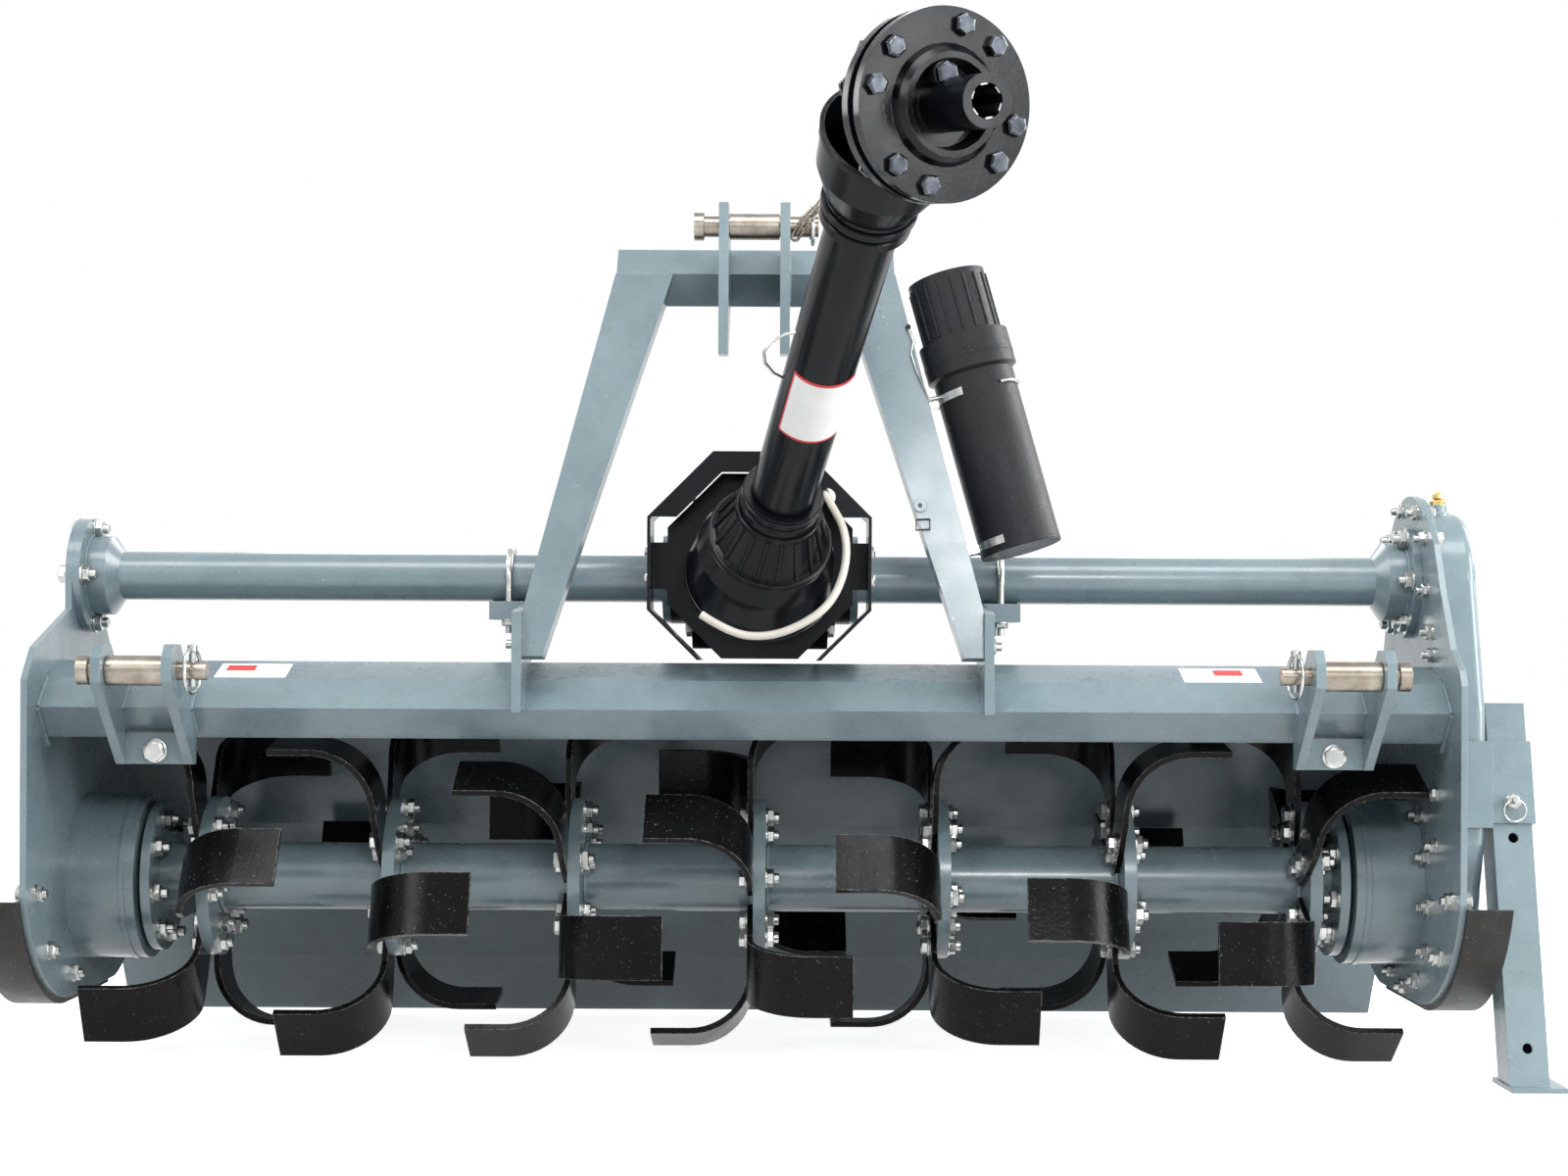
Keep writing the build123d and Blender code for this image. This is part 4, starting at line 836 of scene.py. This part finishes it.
# ---- Driveline: ribs, collars, blank label, bolts and springs ----
first, second = axes(SHAFT_DIR, (0, 0, 1))
rear_ribs = Shape("rear_cone_ribs", "rear_half")
for distance, radius, width in (
    (-15.0, 93.4, 7.0),
    (71.0, 77.4, 3.5),
    (79.5, 77.4, 3.5),
    (134.0, 53.0, 9.0),
    (150.0, 49.0, 6.0),
    (161.0, 49.5, 8.0),
):
    start, stop = distance, distance + width
    hoop(rear_ribs, REAR_JOINT, SHAFT_DIR, start, stop, radius - 4.0, radius, PLASTIC, sides=64)
for k in range(18):
    a = 2 * math.pi * k / 18
    out = first * math.cos(a) + second * math.sin(a)
    low = REAR_JOINT + SHAFT_DIR * 84.0 + out * 69.5
    high = REAR_JOINT + SHAFT_DIR * 134.0 + out * 51.6
    tube(rear_ribs, [low, low.lerp(high, 0.5), high], 3.0, PLASTIC, sides=6)
rear_ribs.finish()

front_rings = Shape("front_guard_rings", "front_half")
for distance, radius, width in ((646.0, 49.5, 12.0), (664.0, 51.5, 9.0), (762.0, 72.0, 8.0)):
    start, stop = distance, distance + width
    hoop(front_rings, REAR_JOINT, SHAFT_DIR, start, stop, radius - 4.0, radius, PLASTIC)
front_rings.finish()


def wrap(name, radius, low, high, start, end, material):
    """A thin blank sheet on the front shield, from low to high and between two angles in degrees."""
    shape = Shape(name, "front_half")
    one, two = axes(SHAFT_DIR, (0, 0, 1))
    along = SHAFT_DIR.normalized()
    rows, columns = 6, 28
    verts, faces = [], []
    for r in (radius + 0.1, radius + 0.5):
        for i in range(rows + 1):
            for j in range(columns + 1):
                a = math.radians(start + (end - start) * j / columns)
                at = REAR_JOINT + along * (low + (high - low) * i / rows)
                verts.append(at + (one * math.cos(a) + two * math.sin(a)) * r)
    width, layer_size = columns + 1, (rows + 1) * (columns + 1)
    for i in range(rows):
        for j in range(columns):
            a, b = i * width + j, i * width + j + 1
            c, d = a + width, b + width
            faces.append([a, b, d, c])
            faces.append([n + layer_size for n in (a, c, d, b)])
    edge = list(range(width))
    edge += [i * width + columns for i in range(1, rows + 1)]
    edge += [rows * width + j for j in range(columns - 1, -1, -1)]
    edge += [i * width for i in range(rows - 1, 0, -1)]
    for n, a in enumerate(edge):
        b = edge[(n + 1) % len(edge)]
        faces.append([a, a + layer_size, b + layer_size, b])
    shape.add(verts, faces, material)
    shape.finish()


wrap("shaft_label_border", 39.0, 317.0, 420.0, 118.0, 242.0, RED)
wrap("shaft_label", 39.5, 321.0, 416.0, 122.0, 238.0, LABEL)

# a wire loop standing off the shield's left side beside its label
loop = Shape("shield_wire_loop", "front_half")
beside = axes(SHAFT_DIR, (-1, 0, 0))[0]
loop_path = [(458, 37), (451, 50), (436, 62), (418, 67), (400, 62), (385, 50), (378, 37)]
loop_path = [REAR_JOINT + SHAFT_DIR * along + beside * out for along, out in loop_path]
tube(loop, loop_path, 1.8, ZINC, sides=8)
loop.finish()

# clutch: dark bolts in pairs through the cover and the disc pack, springs behind
CLUTCH_CIRCLE = 77.0  # of the bolts
SPLINE_RADIUS = 16.6
clutch = Shape("clutch_fasteners", "clutch")
one, two = axes(CLUTCH_DIR, (0, 0, 1))
face = FRONT_JOINT + CLUTCH_DIR * 100.0
for k in range(8):
    a = math.radians(-24.0 - 90.0 * (k // 2) + 15.0 * (1 - 2 * (k % 2)))
    out = one * math.cos(a) + two * math.sin(a)
    hexagon(clutch, face + out * CLUTCH_CIRCLE, CLUTCH_DIR, 9.5, 8.0, DARK_ZINC, spin_of(k))
    turn(
        clutch,
        face + out * CLUTCH_CIRCLE + CLUTCH_DIR * 7.8,
        CLUTCH_DIR,
        [(0.0, 8.2), (0.6, 7.6)],
        DARK_ZINC,
        sides=18,
    )
    back = FRONT_JOINT + CLUTCH_DIR * 64.0 + out * CLUTCH_CIRCLE
    spring(clutch, back, -CLUTCH_DIR, 8.5, 2.0, 18.0, 3.5, BLACK)
    turn(clutch, back, -CLUTCH_DIR, [(0.0, 5.0), (24.0, 5.0)], DARK_ZINC, sides=12)
    hexagon(clutch, back - CLUTCH_DIR * 18.0, -CLUTCH_DIR, 9.5, 5.0, DARK_ZINC, spin_of(k))
clutch.finish()

castings = Shape("clutch_castings", "clutch")
for distance in (75.5, 82.5):
    turn(
        castings,
        FRONT_JOINT + CLUTCH_DIR * distance,
        CLUTCH_DIR,
        [(0.0, 77.5), (0.5, 87.0), (4.5, 87.0), (5.0, 77.5)],
        BLACK,
        sides=64,
    )
# the clamp boss in the well, beside the hub
boss = FRONT_JOINT + CLUTCH_DIR * 92.0 + one * 26.8 + two * 13.9
turn(castings, boss, CLUTCH_DIR, [(0.0, 11.5), (27.0, 11.5), (28.0, 10.5)], BLACK, sides=28)
hexagon(castings, boss + CLUTCH_DIR * 28.0, CLUTCH_DIR, 10.0, 8.0, DARK_ZINC, 14.0)
castings.finish()

# six splines inside the hub's bore
splines = Shape("hub_splines", "clutch")
for k in range(6):
    a = math.radians(60 * k + 15)
    out = one * math.cos(a) + two * math.sin(a)
    side_way = one * -math.sin(a) + two * math.cos(a)
    start = FRONT_JOINT + CLUTCH_DIR * 112.0 + out * SPLINE_RADIUS
    stop = FRONT_JOINT + CLUTCH_DIR * 179.0 + out * SPLINE_RADIUS
    verts = []
    for p in (start, stop):
        for across, deep in ((-4.6, 0.4), (4.6, 0.4), (3.6, -2.0), (-3.6, -2.0)):
            verts.append(p + side_way * across + out * deep)
    splines.add(verts, BOX_FACES, BARE, smooth=False)
splines.finish()

# ---- Stand: locking pin with its clip through the sleeve ----
lean = math.radians(14.0)
leg_dir = Vector((0, math.sin(lean), math.cos(lean)))
ahead = Vector((0, -math.cos(lean), math.sin(lean)))
leg_foot = Vector((978.0, -196.0, 12.0))
stand = Shape("stand_locking_pin", "frame")
seat = leg_foot + leg_dir * 345.0 + ahead * 29.0
turn(stand, seat, ahead, [(0.0, 9.5), (2.0, 9.5), (2.4, 8.8)], ZINC, sides=22)
hexagon(stand, seat + ahead * 2.4, ahead, 8.6, 7.0, ZINC, 8.0)
turn(stand, seat + ahead * 9.0, ahead, [(0.0, 4.6), (9.0, 4.6), (10.0, 3.6)], ZINC, sides=14)
ring = arc(seat + ahead * 14.0 + Vector((0, 0, -13)), (1, 0, 0), (0, 0, 1), 14.0, 90, 440, 26)
tube(stand, ring, 1.4, ZINC, sides=7)
stand.finish()

# ---- Canister: moulded rings, cap ribs, strap and wire clip ----
CAN_FOOT, CAN_TOP = Vector((345.0, -200.0, 670.0)), Vector((251.0, -162.0, 1014.0))
CAN_DIR = (CAN_TOP - CAN_FOOT).normalized()
one, two = axes(CAN_DIR, (0, -1, 0))
moulding = Shape("canister_rings", "frame")
for distance, radius in ((0.5, 51.4), (246.0, 57.5)):
    start, stop = distance, distance + 6.5
    hoop(moulding, CAN_FOOT, CAN_DIR, start, stop, radius - 2.5, radius, CANISTER, sides=64)
moulding.finish()

cap = Shape("canister_cap_ribs", "cap")
top = (CAN_TOP - CAN_FOOT).length
for k in range(18):
    a = 2 * math.pi * k / 18
    out = one * math.cos(a) + two * math.sin(a)
    low = CAN_FOOT + CAN_DIR * 281.0 + out * 49.2
    high = CAN_FOOT + CAN_DIR * (top - 8.0) + out * 49.2
    tube(cap, [low, high], 1.7, CANISTER, sides=8)
cap.finish()

clip = Shape("canister_clip", "frame")
strap = arc(CAN_FOOT + CAN_DIR * 206.0, two, one, 52.6, 0, 60, 12)
tube(clip, strap, 2.2, ZINC, sides=8)
wire = [(202.0, 949.0), (209.0, 930.0), (206.0, 915.0), (214.0, 890.0), (228.0, 858.0)]
wire = [on_leg(x, z) + leg_out * 3.0 for x, z in wire]
tube(clip, wire + [strap[0]], 1.7, ZINC, sides=8)
turn(clip, wire[0], leg_out, [(-2.0, 3.4), (2.0, 3.4)], BLACK, sides=12)
clip.finish()

# ---- Short chain by the top link pin ----
chain = Shape("hanging_chain", "frame")
chain_path = [(52.0, -286.0, 1050.0), (62.0, -292.0, 1066.0), (76.0, -296.0, 1080.0), (92.0, -300.0, 1098.0)]
chain_path = [Vector((MAST_X + x, y, z)) for x, y, z in chain_path]
LINKS = 9
for k in range(LINKS):
    t = k / (LINKS - 1) * (len(chain_path) - 1)
    i = min(int(t), len(chain_path) - 2)
    middle = chain_path[i].lerp(chain_path[i + 1], t - i)
    along = (chain_path[i + 1] - chain_path[i]).normalized()
    wide = axes(along, (0, 1, 0) if k % 2 else (1, 0, 0))[0]
    oval = []
    for half, offset in ((0, 5.0), (180, -5.0)):
        oval += arc(middle + along * offset, wide, along, 4.4, half, half + 180, 8)
    tube(chain, oval, 1.9, YELLOW_ZINC, sides=6, closed=True)
chain.finish()

# ---- Blank label patches on the beam ----
BEAM_UPPER, BEAM_BACK = (-192.0, 504.0), (-125.0, 526.0)
slope = Vector((0, BEAM_BACK[0] - BEAM_UPPER[0], BEAM_BACK[1] - BEAM_UPPER[1])).normalized()
normal = Vector((0, -slope.z, slope.y))


def patch(name, x_low, x_high, low, high, material, lift=0.0):
    """A thin blank sticker on the beam's sloping top face."""
    shape = Shape(name, "frame")
    base = Vector((0, *BEAM_UPPER))
    verts = []
    for depth in (0.05 + lift, 0.45 + lift):
        for x, up in ((x_low, low), (x_high, low), (x_high, high), (x_low, high)):
            verts.append(base + slope * up + normal * depth + Vector((x, 0, 0)))
    shape.add(verts, BOX_FACES, material, smooth=False)
    shape.finish()


for index, (x_low, x_high, split) in enumerate(((-668.0, -578.0, -640.0), (552.0, 650.0, 612.0))):
    patch("beam_label_%d" % index, x_low, x_high, 3.0, 58.0, LABEL)
    patch("beam_label_mark_%d" % index, split - 18.0, split + 18.0, 30.0, 50.0, RED, lift=0.4)

# ---- Breather hose ----
HOSE_ROUTE = [
    (88.0, -60.0, 753.0),
    (89.0, -100.0, 755.0),
    (91.0, -140.0, 758.0),
    (94.0, -178.0, 752.0),
    (104.0, -216.0, 728.0),
    (124.0, -253.0, 690.0),
    (124.0, -278.0, 643.0),
    (105.0, -291.0, 598.0),
    (66.0, -292.0, 571.0),
    (25.0, -292.0, 558.0),
    (-18.0, -288.0, 563.0),
    (-53.0, -283.0, 586.0),
]
curve = bpy.data.curves.new("hose_line", "CURVE")
curve.dimensions = "3D"
curve.bevel_depth = 5.0 * MM
curve.bevel_resolution = 5
curve.use_fill_caps = True
curve.resolution_u = 12
line = curve.splines.new("NURBS")
line.points.add(len(HOSE_ROUTE) - 1)
for point, place in zip(line.points, HOSE_ROUTE):
    point.co = (*row(place), 1.0)
line.order_u = 3
line.use_endpoint_u = True
curve.materials.append(CREAM)
hose = bpy.data.objects.new("breather_line", curve)
bpy.context.scene.collection.objects.link(hose)
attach(hose, "frame")
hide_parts("breather_hose")

# ---- Floor, light and camera ----
FLOOR_GLOW = 0.88  # share of the floor's white that no lamp gives
WORLD_LIGHT = 0.25  # strength of the world as a lamp; seen directly or mirrored it is white
FLOOR_HALF = 60.0  # metres
FLOOR_DROP = 0.0005  # metres below the skids


def seen_ray(node, link):
    """1 where a ray comes from the camera, from a mirror or through glass, else 0."""
    rays = node("ShaderNodeLightPath").outputs
    seen = node("ShaderNodeMath", operation="MAXIMUM")
    link(rays["Is Camera Ray"], seen.inputs[0])
    link(rays["Is Glossy Ray"], seen.inputs[1])
    seen_through = node("ShaderNodeMath", operation="MAXIMUM")
    link(seen.outputs[0], seen_through.inputs[0])
    link(rays["Is Transmission Ray"], seen_through.inputs[1])
    return seen_through.outputs[0]


floor_material, link, node, out = shader("pale_floor")
out.inputs["Base Color"].default_value = (0.50, 0.50, 0.50, 1.0)
out.inputs["Roughness"].default_value = 0.7
out.inputs["Emission Color"].default_value = (1.0, 1.0, 1.0, 1.0)
glow = node("ShaderNodeMath", operation="MULTIPLY")
glow.inputs[1].default_value = FLOOR_GLOW
link(seen_ray(node, link), glow.inputs[0])
link(glow.outputs[0], out.inputs["Emission Strength"])
floor_mesh = bpy.data.meshes.new("floor")
corners = ((-1, -1), (1, -1), (1, 1), (-1, 1))
floor_verts = [(x * FLOOR_HALF, y * FLOOR_HALF, -FLOOR_DROP) for x, y in corners]
floor_mesh.from_pydata(floor_verts, [], [[0, 1, 2, 3]])
floor_mesh.materials.append(floor_material)
floor = bpy.data.objects.new("floor", floor_mesh)
bpy.context.scene.collection.objects.link(floor)

world = bpy.data.worlds.new("studio")
world.use_nodes = True
world_tree = world.node_tree
world_light = world_tree.nodes["Background"]
world_light.inputs["Color"].default_value = (0.90, 0.95, 1.0, 1.0)
world_light.inputs["Strength"].default_value = WORLD_LIGHT
node, link = node_maker(world_tree), world_tree.links.new
world_white = node("ShaderNodeBackground")
world_white.inputs["Color"].default_value = (1.0, 1.0, 1.0, 1.0)
world_mix = node("ShaderNodeMixShader")
link(seen_ray(node, link), world_mix.inputs[0])
link(world_light.outputs[0], world_mix.inputs[1])
link(world_white.outputs[0], world_mix.inputs[2])
link(world_mix.outputs[0], world_tree.nodes["World Output"].inputs[0])
bpy.context.scene.world = world


def area(name, place, aim, width, height, power):
    """A soft white rectangular lamp at place, facing aim, in row metres and watts."""
    lamp = bpy.data.lights.new(name, "AREA")
    lamp.shape, lamp.size, lamp.size_y = "RECTANGLE", width, height
    lamp.energy = power
    made = bpy.data.objects.new(name, lamp)
    place, aim = Vector(place), Vector(aim)
    made.matrix_world = Matrix.Translation(place) @ (
        (aim - place).to_track_quat("-Z", "Y").to_matrix().to_4x4()
    )
    bpy.context.scene.collection.objects.link(made)


area("key_left", (-3.2, -3.2, 2.6), (0, 0.2, 0.5), 2.0, 1.6, 72)
area("fill_right", (3.2, -0.8, 1.2), (0.2, 0.2, 0.6), 1.2, 2.0, 85)
area("front_right", (2.7, -2.9, 1.1), (0.3, -0.8, 1.0), 1.0, 0.9, 24)
area("rim_right", (3.4, 1.6, 2.2), (0.3, 0.2, 0.6), 1.2, 2.0, 80)
area("rim_left", (-3.4, 1.6, 2.2), (-0.3, 0.2, 0.6), 1.2, 2.0, 50)
area("top", (0.0, -1.5, 3.6), (0, 0.2, 0.5), 4.0, 1.2, 120)
area("back", (0.0, 3.6, 2.6), (0, 0.2, 0.6), 3.0, 1.2, 45)
area("front_spot", (0.7, -3.5, 1.75), (0.25, 0.1, 0.7), 0.6, 0.5, 34)

camera_data = bpy.data.cameras.new("camera")
camera_data.sensor_width = 36.0
camera_data.lens = 56.59
camera_data.shift_x = 0.00125
camera_data.shift_y = 0.04375
camera_data.clip_end = 60.0
camera = bpy.data.objects.new("camera", camera_data)
turned = Matrix.Rotation(math.radians(90), 4, "X") @ Matrix.Rotation(math.radians(0.3), 4, "Z")
camera.matrix_world = Matrix.Translation(row((46.0, -3285.0, 535.0))) @ turned
bpy.context.scene.collection.objects.link(camera)
bpy.context.scene.camera = camera
bpy.context.scene.view_settings.view_transform = "Standard"
